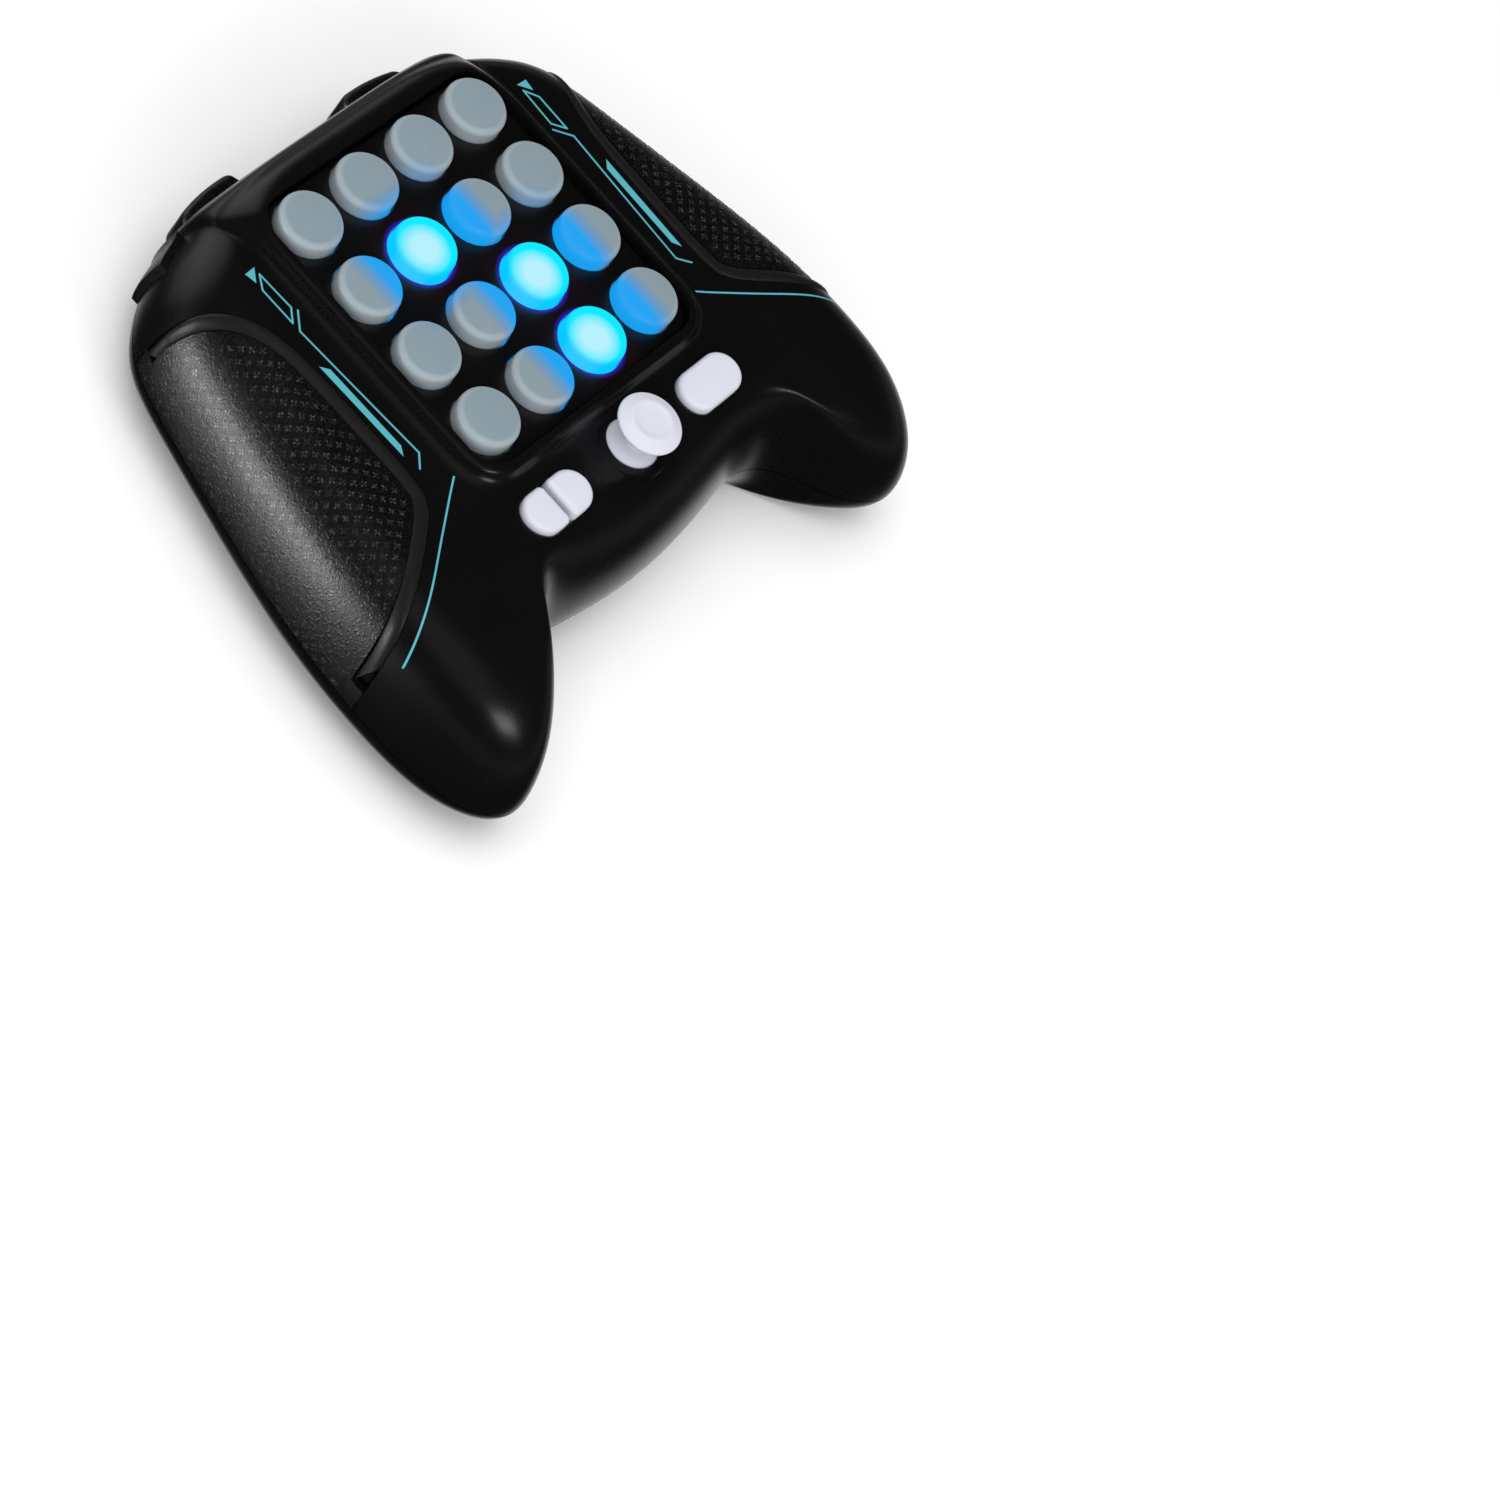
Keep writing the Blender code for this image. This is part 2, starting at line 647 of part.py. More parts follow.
def upper_openings():
    """Everything that is cut out of the upper shell."""
    skirt_gap = STICK_SKIRT_RADIUS + CLEARANCE
    bm = bmesh.new()
    bmesh.ops.create_uvsphere(bm, u_segments=24, v_segments=16, radius=skirt_gap)
    socket = finish(bm, "stick_socket", None, (0, -KEY_ROW, STICK_PIVOT))
    through = LEDGE_HEIGHT - WALL - OVERRUN
    inner = rounded_outline(PANEL_HALF_X + CLEARANCE - LEDGE, PANEL_HALF_Y + CLEARANCE - LEDGE,
                            PANEL_CORNER, centre=(0, PANEL_SHIFT))
    seat = rounded_outline(PANEL_HALF_X + CLEARANCE, PANEL_HALF_Y + CLEARANCE,
                           PANEL_CORNER + CLEARANCE, centre=(0, PANEL_SHIFT))
    scallop = BUTTON_RADIUS + BUTTON_FLANGE + CLEARANCE
    scallops = [cylinder("flange_scallop", scallop, through, LEDGE_HEIGHT + CLEARANCE, BUTTON_SIDES, (x, y))
                for row, column, x, y in grid_places()
                if row in (0, GRID_COUNT - 1) or column in (0, GRID_COUNT - 1)]
    cutters = [*scallops, socket, extruded("panel_opening", inner, through, PANEL_HEIGHT),
               extruded("panel_seat", seat, LEDGE_HEIGHT, RIM_HEIGHT + OVERRUN)]
    flange_top = WING_HEIGHT - KEY_FLANGE_DEPTH
    low = flange_top - KEY_FLANGE_HEIGHT - KEY_TRAVEL - CLEARANCE
    for x, length in ((START_KEY_X, START_KEY_LENGTH), (HALF_KEYS_X, HALF_KEY_LENGTH * 2 + HALF_KEY_GAP)):
        place = (x, -KEY_ROW, 0)
        shaft = pill_outline(length, KEY_WIDTH, out=CLEARANCE)
        cutters.append(extruded("key_opening", shaft, flange_top, KEY_TOP + OVERRUN, None, place))
        pocket = pill_outline(length + KEY_FLANGE, KEY_WIDTH + KEY_FLANGE * 2, out=CLEARANCE)
        cutters.append(extruded("key_pocket", pocket, low, flange_top + CLEARANCE, None, place))
    for side in (-1, 1):
        cutters += shoulder_windows(side)
    return cutters


def upper_shell(cavity, floor_body):
    """The face half of the housing: plateau, wings and grips, hollow, with its posts and openings."""
    shell = housing_body("upper_shell", 0.0, plateau=True)
    CUTTERS.objects.unlink(shell)
    PARTS.objects.link(shell)
    shell.hide_render = False
    shell.display_type = "TEXTURED"
    shell.data.materials.append(BLACK)
    reach = HALF_WIDTH + FRONT_REACH
    seam = PARTING_HEIGHT + CLEARANCE / 2
    combine(shell, "INTERSECT", box("above_seam", (-reach, -reach, seam), (reach, reach, reach)))
    combine(shell, "DIFFERENCE", cavity)
    settled(shell)
    roof = WING_CEILING + WALL / 2
    posts = []
    for x, y in screw_places():
        posts.append(cylinder("post", SCREW_POST_RADIUS, seam, PANEL_HEIGHT - OVERRUN, SCREW_SIDES * 2,
                              (x, y)))
    for x, y in board_post_places():
        posts.append(cylinder("board_post", BOARD_POST_RADIUS, BOARD_TOP + CLEARANCE, roof,
                              SCREW_SIDES, (x, y)))
    inside = grouped("upper_posts", posts)
    for post in posts:
        combine(post, "INTERSECT", floor_body)
        settled(post)
    combine(shell, "UNION", inside)
    settled(shell)
    pilots = []
    pilot_top = SCREW_FLOOR + SCREW_HEAD_HEIGHT + PARTING_HEIGHT + SCREW_BITE
    for x, y in screw_places():
        pilots.append(cylinder("pilot", SCREW_RADIUS + CLEARANCE, seam - OVERRUN, pilot_top, SCREW_SIDES,
                               (x, y)))
    for x, y in board_post_places():
        pilots.append(cylinder("board_pilot", BOARD_SCREW_RADIUS + CLEARANCE, BOARD_TOP,
                               BOARD_TOP + BOARD_SCREW_LENGTH, SCREW_SIDES, (x, y)))
    combine(shell, "DIFFERENCE", grouped("upper_cuts", upper_openings() + pilots))
    return settled(shell)


def grip_panels(shell, floor_body):
    """Textured panels let into the grips, down to the seam, and the recesses they lie in."""
    skin = housing_body("grip_skin", GRIP_PANEL_SINK)
    under = housing_body("grip_under", GRIP_PANEL_SINK + GRIP_PANEL_THICKNESS)
    seam = PARTING_HEIGHT + CLEARANCE
    for label, side in (("left", -1), ("right", 1)):
        prism = grip_panel_prism(f"{label}_recess_prism", side, 0, PANEL_HEIGHT + OVERRUN)
        combine(prism, "DIFFERENCE", floor_body)
        settled(prism)
        combine(shell, "DIFFERENCE", prism)
        panel = grip_panel_prism(f"{label}_grip_panel", side, seam, PANEL_HEIGHT, -CLEARANCE)
        CUTTERS.objects.unlink(panel)
        PARTS.objects.link(panel)
        panel.hide_render = False
        panel.display_type = "TEXTURED"
        panel.data.materials.append(GRIP_BLACK)
        combine(panel, "INTERSECT", skin)
        combine(panel, "DIFFERENCE", under)
        settled(panel)
    settled(shell)


BOX_HALF_X = CELL_LENGTH / 2 + CELL_NUB_HEIGHT + CONTACT_THICKNESS + CLEARANCE * 2
BOX_HALF_Y = CELL_PITCH * CELL_COUNT / 2 + CLEARANCE
DOOR_HALF_X = BOX_HALF_X + BOX_WALL + DOOR_LIP
DOOR_HALF_Y = BOX_HALF_Y + BOX_WALL + DOOR_LIP
CELL_HEIGHT = DOOR_THICKNESS + DOOR_RIB + CELL_RADIUS + CLEARANCE
BOX_TOP = CELL_HEIGHT + CELL_RADIUS + CLEARANCE
DOOR_SCREW_Y = CELL_ROW_Y + DOOR_HALF_Y


def cell_places():
    for index in range(CELL_COUNT):
        yield index, CELL_ROW_Y + (index - (CELL_COUNT - 1) / 2) * CELL_PITCH


def lower_shell(cavity):
    """The back half of the housing: a tray with the battery box, screw bosses and speaker grille."""
    shell = housing_body("lower_shell", 0.0)
    CUTTERS.objects.unlink(shell)
    PARTS.objects.link(shell)
    shell.hide_render = False
    shell.display_type = "TEXTURED"
    shell.data.materials.append(BLACK)
    reach = HALF_WIDTH + FRONT_REACH
    seam = PARTING_HEIGHT - CLEARANCE / 2
    combine(shell, "INTERSECT", box("below_seam", (-reach, -reach, 0), (reach, reach, seam)))
    combine(shell, "DIFFERENCE", cavity)
    settled(shell)
    floor = WALL / 2
    outer_x = BOX_HALF_X + BOX_WALL
    outer_y = BOX_HALF_Y + BOX_WALL
    added = [box("battery_box", (-outer_x, CELL_ROW_Y - outer_y, floor),
                 (outer_x, CELL_ROW_Y + outer_y, BOX_TOP + BOX_CEILING))]
    added.append(cylinder("door_boss", SCREW_POST_RADIUS, floor, DOOR_THICKNESS + SCREW_BITE, SCREW_SIDES * 2,
                          (0, DOOR_SCREW_Y)))
    for x, y in screw_places():
        added.append(cylinder("boss", SCREW_POST_RADIUS, floor, seam, SCREW_SIDES * 2, (x, y)))
    for side in (-1, 1):
        x = side * SWITCH_BOARD_X
        y = switch_board_y()
        gap = SWITCH_BOARD_THICKNESS / 2 + CLEARANCE
        for turn in (-1, 1):
            start = y + turn * gap
            end = start + turn * BOX_WALL
            added.append(box("board_slot", (x - SWITCH_SIZE, min(start, end), floor),
                             (x + SWITCH_SIZE, max(start, end), seam)))
    cup = SPEAKER_RADIUS + CLEARANCE + SPEAKER_CUP_WALL
    added.append(cylinder("speaker_cup", cup, floor, SPEAKER_LOW + SPEAKER_CUP_HEIGHT, BUTTON_SIDES,
                          (0, SPEAKER_Y)))
    combine(shell, "UNION", grouped("lower_added", added))
    settled(shell)
    cuts = [box("box_inside", (-BOX_HALF_X, CELL_ROW_Y - BOX_HALF_Y, -OVERRUN),
                (BOX_HALF_X, CELL_ROW_Y + BOX_HALF_Y, BOX_TOP))]
    door = rounded_outline(DOOR_HALF_X + CLEARANCE, DOOR_HALF_Y + CLEARANCE, DOOR_LIP, 3, (0, CELL_ROW_Y))
    cuts.append(extruded("door_seat", door, -OVERRUN, DOOR_THICKNESS + CLEARANCE))
    cuts.append(cylinder("ear_seat", DOOR_SCREW_EAR + CLEARANCE, -OVERRUN, DOOR_THICKNESS + CLEARANCE,
                         SCREW_SIDES * 2, (0, DOOR_SCREW_Y)))
    cuts.append(cylinder("door_pilot", SCREW_RADIUS + CLEARANCE, 0, DOOR_THICKNESS + SCREW_BITE - floor,
                         SCREW_SIDES, (0, DOOR_SCREW_Y)))
    for x, y in screw_places():
        cuts.append(cylinder("head_bore", SCREW_HEAD_RADIUS + CLEARANCE, -OVERRUN,
                             SCREW_FLOOR + SCREW_HEAD_HEIGHT, SCREW_SIDES, (x, y)))
        cuts.append(cylinder("shank_bore", SCREW_RADIUS + CLEARANCE, 0, PARTING_HEIGHT + OVERRUN,
                             SCREW_SIDES, (x, y)))
    for x, y in grille_places():
        cuts.append(cylinder("grille_hole", GRILLE_HOLE_RADIUS, -OVERRUN, SPEAKER_LOW + OVERRUN / 2,
                             SCREW_SIDES // 2, (x, y)))
    cuts.append(cylinder("speaker_seat", SPEAKER_RADIUS + CLEARANCE, SPEAKER_LOW - CLEARANCE,
                         SPEAKER_LOW + SPEAKER_HEIGHT, BUTTON_SIDES, (0, SPEAKER_Y)))
    for side in (-1, 1):
        cuts += shoulder_windows(side)
    combine(shell, "DIFFERENCE", grouped("lower_cuts", cuts))
    return settled(shell)


def grille_places():
    """Seven holes under the speaker: one in the middle and six round it."""
    yield 0, SPEAKER_Y
    for step in range(6):
        angle = math.pi / 3 * step
        yield GRILLE_PITCH * math.cos(angle), SPEAKER_Y + GRILLE_PITCH * math.sin(angle)


def button_panel():
    outline = rounded_outline(PANEL_HALF_X, PANEL_HALF_Y, PANEL_CORNER, centre=(0, PANEL_SHIFT))
    panel = extruded("button_panel", outline, PANEL_UNDERSIDE, PANEL_HEIGHT, PANEL_BLACK)
    holes = [cylinder("button_hole", BUTTON_RADIUS + CLEARANCE, PANEL_UNDERSIDE - OVERRUN,
                      PANEL_HEIGHT + OVERRUN, BUTTON_SIDES, (x, y)) for _, _, x, y in grid_places()]
    combine(panel, "DIFFERENCE", grouped("button_holes", holes))
    settled(panel)


def light_buttons():
    """Frosted caps with a flange that stops them under the panel, and a hollow foot over the LED."""
    flange_top = -PANEL_THICKNESS - CLEARANCE
    flange_under = flange_top - BUTTON_FLANGE_HEIGHT
    foot = BOARD_TOP + MAT_THICKNESS + CLEARANCE * 2 + BUTTON_TRAVEL - PANEL_HEIGHT
    well = flange_under + BUTTON_FLANGE_HEIGHT / 2
    round_out = BUTTON_EDGE * (1 - math.cos(math.pi / 4))
    profile = (
        (0, well),
        (BUTTON_FOOT - BUTTON_FLANGE_HEIGHT, well),
        (BUTTON_FOOT - BUTTON_FLANGE_HEIGHT, foot),
        (BUTTON_FOOT, foot),
        (BUTTON_FOOT, flange_under),
        (BUTTON_RADIUS + BUTTON_FLANGE, flange_under),
        (BUTTON_RADIUS + BUTTON_FLANGE, flange_top),
        (BUTTON_RADIUS, flange_top),
        (BUTTON_RADIUS, BUTTON_RISE - BUTTON_EDGE),
        (BUTTON_RADIUS - round_out, BUTTON_RISE - round_out),
        (BUTTON_RADIUS - BUTTON_EDGE, BUTTON_RISE),
        (0, BUTTON_RISE + BUTTON_DOME),
    )
    for row, column, x, y in grid_places():
        turned(f"light_button_r{row + 1}c{column + 1}", profile, BUTTON_SIDES, FROSTED, (x, y, PANEL_HEIGHT))


def key(name, length, ends, x):
    """A white key with its flange under the shell and a foot over its switch."""
    outline = pill_outline(length, KEY_WIDTH, ends)
    origin = (x, -KEY_ROW, WING_HEIGHT)
    flange_top = -KEY_FLANGE_DEPTH
    made = extruded(name, outline, flange_top - CLEARANCE, KEY_RISE, WHITE, origin, KEY_EDGE)
    flat = pill_outline(length + KEY_FLANGE, KEY_WIDTH + KEY_FLANGE * 2, ends)
    flange = extruded(f"{name}_flange", flat, flange_top - KEY_FLANGE_HEIGHT, flange_top, None, origin)
    foot_end = BOARD_TOP + CLEARANCE * 2 + KEY_TRAVEL - WING_HEIGHT
    foot = cylinder(f"{name}_foot", KEY_FOOT_RADIUS, foot_end, flange_top - CLEARANCE, SCREW_SIDES, place=origin)
    combine(made, "UNION", flange)
    combine(made, "UNION", foot)
    settled(made)


def keys():
    key("start_key", START_KEY_LENGTH, (1, 1), START_KEY_X)
    outer, inner = half_key_centres()
    key("left_key_outer", HALF_KEY_LENGTH, (1, 0), outer)
    key("left_key_inner", HALF_KEY_LENGTH, (0, 1), inner)


def sphere_arc(radius, low, high, steps):
    """Radius and height pairs along a sphere about the origin, from height low up to height high."""
    start = math.asin(low / radius)
    end = math.asin(high / radius)
    arc = []
    for step in range(steps + 1):
        angle = start + (end - start) * step / steps
        arc.append((radius * math.cos(angle), radius * math.sin(angle)))
    return arc


def thumbstick():
    """Dished cap, neck and domed skirt, turned about the pivot, with a boss and pins in the gimbal."""
    top = STICK_CAP_TOP + STICK_PIVOT_DEPTH
    cap_under = top - STICK_CAP_HEIGHT
    neck_foot = math.sqrt(STICK_SKIRT_RADIUS ** 2 - STICK_NECK_RADIUS ** 2)
    inner = STICK_SKIRT_RADIUS - STICK_SKIRT_WALL
    outer_arc = sphere_arc(STICK_SKIRT_RADIUS, STICK_SKIRT_EDGE, neck_foot, 5)
    boss_meet = math.sqrt(inner ** 2 - STICK_BOSS_RADIUS ** 2)
    inner_arc = sphere_arc(inner, STICK_SKIRT_EDGE, boss_meet, 3)
    profile = [(0, -STICK_BOSS_DROP), (STICK_BOSS_RADIUS, -STICK_BOSS_DROP)]
    profile += list(reversed(inner_arc)) + outer_arc
    edge = STICK_CAP_HEIGHT / 3
    profile += [
        (STICK_NECK_RADIUS, cap_under - edge),
        (STICK_CAP_RADIUS - edge, cap_under),
        (STICK_CAP_RADIUS, cap_under + edge),
        (STICK_CAP_RADIUS, top - edge),
        (STICK_CAP_RADIUS - edge, top),
        (STICK_DISH_RADIUS + edge, top),
        (STICK_DISH_RADIUS, top - STICK_DISH_DEPTH),
        (0, top - STICK_DISH_DEPTH * 1.2),
    ]
    stick = turned("thumbstick", profile, BUTTON_SIDES + 4, WHITE, (0, -KEY_ROW, STICK_PIVOT))
    settled(stick)
    reach = GIMBAL_HALF - CLEARANCE
    pins = cylinder("stick_pins", STICK_PIN_RADIUS, -reach, reach, 8, (0, 0), "Y", None,
                    (0, -KEY_ROW, STICK_PIVOT))
    combine(stick, "UNION", pins)
    settled(stick)


def stick_gimbal():
    """A square ring: the stick's pins turn in its front and back walls, its own pins in the module."""
    half = GIMBAL_HALF
    tall = GIMBAL_HALF_HEIGHT
    place = (0, -KEY_ROW, STICK_PIVOT)
    ring = box("stick_gimbal", (-half, -half, -tall), (half, half, tall), STEEL, place)
    inner = half - GIMBAL_WALL
    hole = box("gimbal_inside", (-inner, -inner, -tall - OVERRUN), (inner, inner, tall + OVERRUN), None, place)
    combine(ring, "DIFFERENCE", hole)
    reach = half + OVERRUN
    bores = cylinder("gimbal_bores", STICK_PIN_RADIUS + CLEARANCE / 2, -reach, reach, 8, (0, 0), "Y", None,
                     place)
    combine(ring, "DIFFERENCE", bores)
    end = half + POST_GAP + POST_THICKNESS - CLEARANCE
    for side in (-1, 1):
        start = half - GIMBAL_WALL / 2
        pin = cylinder("gimbal_pin", STICK_PIN_RADIUS, min(side * start, side * end),
                       max(side * start, side * end), 8, (0, 0), "X", None, place)
        combine(ring, "UNION", pin)
    settled(ring)


def stick_module():
    """Base plate with two bored posts that carry the gimbal."""
    outer = GIMBAL_HALF + POST_GAP + POST_THICKNESS
    base_low = BOARD_TOP + CLEARANCE - STICK_PIVOT
    place = (0, -KEY_ROW, STICK_PIVOT)
    base_top = base_low + MODULE_BASE
    module = box("stick_module", (-outer, -GIMBAL_HALF, base_low), (outer, GIMBAL_HALF, base_top),
                 DARK_PLASTIC, place)
    for side in (-1, 1):
        near = side * (GIMBAL_HALF + POST_GAP)
        far = side * outer
        post = box("module_post", (min(near, far), -POST_HALF_WIDTH, base_top - MODULE_BASE / 2),
                   (max(near, far), POST_HALF_WIDTH, POST_RISE), None, place)
        combine(module, "UNION", post)
    bore = cylinder("module_bore", STICK_PIN_RADIUS + CLEARANCE / 2, -outer - OVERRUN, outer + OVERRUN, 8,
                    (0, 0), "X", None, place)
    combine(module, "DIFFERENCE", bore)
    settled(module)


def shoulder_button(label, side):
    """A block with a rounded outer face, proud of the back edge."""
    half = SHOULDER_WIDTH / 2
    low = SHOULDER_TOP - SHOULDER_HEIGHT
    back = BACK_REACH + SHOULDER_PROUD
    bm = bmesh.new()
    for step in range(SHOULDER_STEPS):
        start = -half + 2 * half * step / SHOULDER_STEPS
        end = -half + 2 * half * (step + 1) / SHOULDER_STEPS
        add_box(bm, (start, back - SHOULDER_DEPTH, low), (end, back, SHOULDER_TOP))
    bmesh.ops.remove_doubles(bm, verts=bm.verts[:], dist=CLEARANCE / 10)
    inside = [face for face in bm.faces if abs(face.normal.x) > 0.9
              and abs(face.calc_center_median().x) < half - CLEARANCE]
    bmesh.ops.delete(bm, geom=inside, context="FACES_ONLY")
    outer = [edge for edge in bm.edges
             if all(v.co.y > back - SHOULDER_ROUND for v in edge.verts) and edge.calc_face_angle(0) > 1]
    bmesh.ops.bevel(bm, geom=outer, offset=SHOULDER_ROUND, segments=3, profile=0.5, affect="EDGES")
    for vert in bm.verts:
        across = side * vert.co.x / half + SHOULDER_PEAK_SHARE
        if across > 0 and vert.co.y > BACK_REACH - SHOULDER_DEPTH / 2:
            vert.co.y -= SHOULDER_FALL * (across / (1 + SHOULDER_PEAK_SHARE)) ** 2
    finish(bm, f"{label}_shoulder_button", GRIP_BLACK, (side * SHOULDER_X, 0, 0))


def trigger(label, side, proud_body):
    """A block that follows the curve of the back corner, proud of it all along."""
    half = TRIGGER_WIDTH / 2
    low = TRIGGER_TOP - TRIGGER_HEIGHT
    bm = bmesh.new()
    add_box(bm, (-half, TRIGGER_BACK, low), (half, BACK_REACH + SHOULDER_PROUD, TRIGGER_TOP))
    block = finish(bm, f"{label}_trigger", GRIP_BLACK, (side * TRIGGER_X, 0, 0))
    combine(block, "INTERSECT", proud_body)
    settled(block)


def shoulder_controls():
    proud = housing_body("trigger_skin", -TRIGGER_PROUD)
    for label, side in (("left", -1), ("right", 1)):
        shoulder_button(label, side)
        trigger(label, side, proud)


def switch_board_y():
    inner = min(TRIGGER_BACK, BACK_REACH + SHOULDER_PROUD - SHOULDER_DEPTH)
    return inner - SHOULDER_TRAVEL - CLEARANCE - SWITCH_DEPTH - SWITCH_BOARD_THICKNESS / 2


def switch_boards():
    """Small boards on edge behind the shoulder controls, each with two switches."""
    y = switch_board_y()
    low = SWITCH_BOARD_LOW
    half = SWITCH_BOARD_WIDTH / 2
    for label, side in (("left", -1), ("right", 1)):
        place = (side * SWITCH_BOARD_X, y, 0)
        board = box(f"{label}_switch_board", (-half, -SWITCH_BOARD_THICKNESS / 2, low),
                    (half, SWITCH_BOARD_THICKNESS / 2, low + SWITCH_BOARD_HEIGHT), BOARD_GREEN, place)
        for x in (SHOULDER_X, TRIGGER_X):
            from_middle = side * (x - SWITCH_BOARD_X)
            reach = SWITCH_BOARD_THICKNESS / 2 + SWITCH_DEPTH
            top = low + SWITCH_BOARD_HEIGHT - CLEARANCE
            switch = box("switch", (from_middle - SWITCH_SIZE / 2, 0, top - SWITCH_SIZE),
                         (from_middle + SWITCH_SIZE / 2, reach, top), None, place)
            combine(board, "UNION", switch)
        settled(board)


def main_board():
    """The circuit board under the panel, with an LED below each button."""
    middle = (BOARD_BACK - BOARD_FRONT) / 2
    outline = rounded_outline(BOARD_HALF_WIDTH, (BOARD_BACK + BOARD_FRONT) / 2, BOARD_CORNER, 3, (0, middle))
    under = BOARD_TOP - BOARD_THICKNESS
    board = extruded("main_board", outline, under, BOARD_TOP, BOARD_GREEN)
    half = LED_SIZE / 2
    lamps = [box("led", (x - half, y - half, under + BOARD_THICKNESS / 2),
                 (x + half, y + half, BOARD_TOP + LED_HEIGHT)) for _, _, x, y in grid_places()]
    combine(board, "UNION", grouped("leds", lamps))
    holes = [cylinder("board_hole", BOARD_SCREW_RADIUS + CLEARANCE, under - OVERRUN, BOARD_TOP + OVERRUN,
                      SCREW_SIDES, (x, y)) for x, y in board_post_places()]
    combine(board, "DIFFERENCE", grouped("board_holes", holes))
    settled(board)


def keypad_mat():
    low = BOARD_TOP + CLEARANCE
    side = BUTTON_PITCH * (GRID_COUNT - 1) / 2 + BUTTON_RADIUS
    outline = rounded_outline(side, side, BOARD_CORNER, 2)
    mat = extruded("keypad_mat", outline, low, low + MAT_THICKNESS, MAT_GREY)
    holes = [cylinder("mat_hole", MAT_HOLE, low - OVERRUN, low + MAT_THICKNESS + OVERRUN, MAT_SIDES, (x, y))
             for _, _, x, y in grid_places()]
    combine(mat, "DIFFERENCE", grouped("mat_holes", holes))
    settled(mat)


def batteries():
    """Three cells side by side, turned end for end, with a contact strip at each end of the box."""
    half = CELL_LENGTH / 2
    for index, y in cell_places():
        turn = 1 if index % 2 else -1
        profile = (
            (0, -half),
            (CELL_RADIUS, -half),
            (CELL_RADIUS, half),
            (CELL_NUB_RADIUS, half),
            (CELL_NUB_RADIUS, half + CELL_NUB_HEIGHT),
            (0, half + CELL_NUB_HEIGHT),
        )
        cell = turned(f"battery_{index + 1}", profile, SCREW_SIDES + 4, CELL_SLEEVE, (0, y, CELL_HEIGHT))
        cell.rotation_euler = (0, turn * math.pi / 2, 0)
    for label, side in (("left", -1), ("right", 1)):
        outer = side * (BOX_HALF_X - CLEARANCE)
        inner = outer - side * CONTACT_THICKNESS
        reach = BOX_HALF_Y - CLEARANCE
        strip = box(f"battery_contact_{label}",
                    (min(outer, inner), CELL_ROW_Y - reach, CELL_HEIGHT - CELL_RADIUS / 2),
                    (max(outer, inner), CELL_ROW_Y + reach, CELL_HEIGHT + CELL_RADIUS / 2), STEEL)
        settled(strip)


def battery_door():
    """Flush door with ribs under the cells and an ear for its screw."""
    outline = rounded_outline(DOOR_HALF_X, DOOR_HALF_Y, DOOR_LIP, 3, (0, CELL_ROW_Y))
    door = extruded("battery_door", outline, 0, DOOR_THICKNESS, BLACK)
    ear = cylinder("door_ear", DOOR_SCREW_EAR, 0, DOOR_THICKNESS, SCREW_SIDES * 2, (0, DOOR_SCREW_Y))
    combine(door, "UNION", ear)
    for side in (-1, 1):
        x = side * BOX_HALF_X / 2
        rib = box("door_rib", (x - DOOR_RIB, CELL_ROW_Y - CELL_PITCH, DOOR_THICKNESS / 2),
                  (x + DOOR_RIB, CELL_ROW_Y + CELL_PITCH, DOOR_THICKNESS + DOOR_RIB))
        combine(door, "UNION", rib)
    bore = cylinder("door_bore", SCREW_RADIUS + CLEARANCE, -OVERRUN, DOOR_THICKNESS + OVERRUN, SCREW_SIDES,
                    (0, DOOR_SCREW_Y))
    combine(door, "DIFFERENCE", bore)
    head = cylinder("door_head_seat", SCREW_HEAD_RADIUS + CLEARANCE, -OVERRUN, DOOR_THICKNESS / 2, SCREW_SIDES,
                    (0, DOOR_SCREW_Y))
    combine(door, "DIFFERENCE", head)
    settled(door)


def speaker():
    """Round speaker, its face down over the grille."""
    low = SPEAKER_LOW
    profile = (
        (0, low),
        (SPEAKER_RADIUS, low),
        (SPEAKER_RADIUS, low + SPEAKER_HEIGHT - SPEAKER_MAGNET_HEIGHT),
        (SPEAKER_MAGNET_RADIUS, low + SPEAKER_HEIGHT - SPEAKER_MAGNET_HEIGHT),
        (SPEAKER_MAGNET_RADIUS, low + SPEAKER_HEIGHT),
        (0, low + SPEAKER_HEIGHT),
    )
    turned("speaker", profile, BUTTON_SIDES, STEEL, (0, SPEAKER_Y, 0))


def screw(name, x, y, seat, length, head_radius, head_height, radius):
    """A screw from below: its head hangs under the seat and its shank rises from it."""
    profile = (
        (0, seat - head_height),
        (head_radius, seat - head_height),
        (head_radius, seat),
        (radius, seat),
        (radius, seat + length - radius),
        (0, seat + length),
    )
    turned(name, profile, SCREW_SIDES, STEEL, (x, y, 0))


def screws():
    seat = SCREW_FLOOR + SCREW_HEAD_HEIGHT - CLEARANCE
    for index, (x, y) in enumerate(screw_places()):
        screw(f"housing_screw_{index + 1}", x, y, seat, PARTING_HEIGHT + SCREW_BITE - CLEARANCE,
              SCREW_HEAD_RADIUS, SCREW_HEAD_HEIGHT, SCREW_RADIUS)
    seat = BOARD_TOP - BOARD_THICKNESS - CLEARANCE
    for index, (x, y) in enumerate(board_post_places()):
        screw(f"board_screw_{index + 1}", x, y, seat, BOARD_SCREW_LENGTH, BOARD_SCREW_HEAD_RADIUS,
              BOARD_SCREW_HEAD_HEIGHT, BOARD_SCREW_RADIUS)
    seat = DOOR_THICKNESS / 2 - CLEARANCE
    screw("battery_door_screw", 0, DOOR_SCREW_Y, seat, SCREW_BITE - CLEARANCE, SCREW_HEAD_RADIUS,
          seat - CLEARANCE / 3, SCREW_RADIUS)


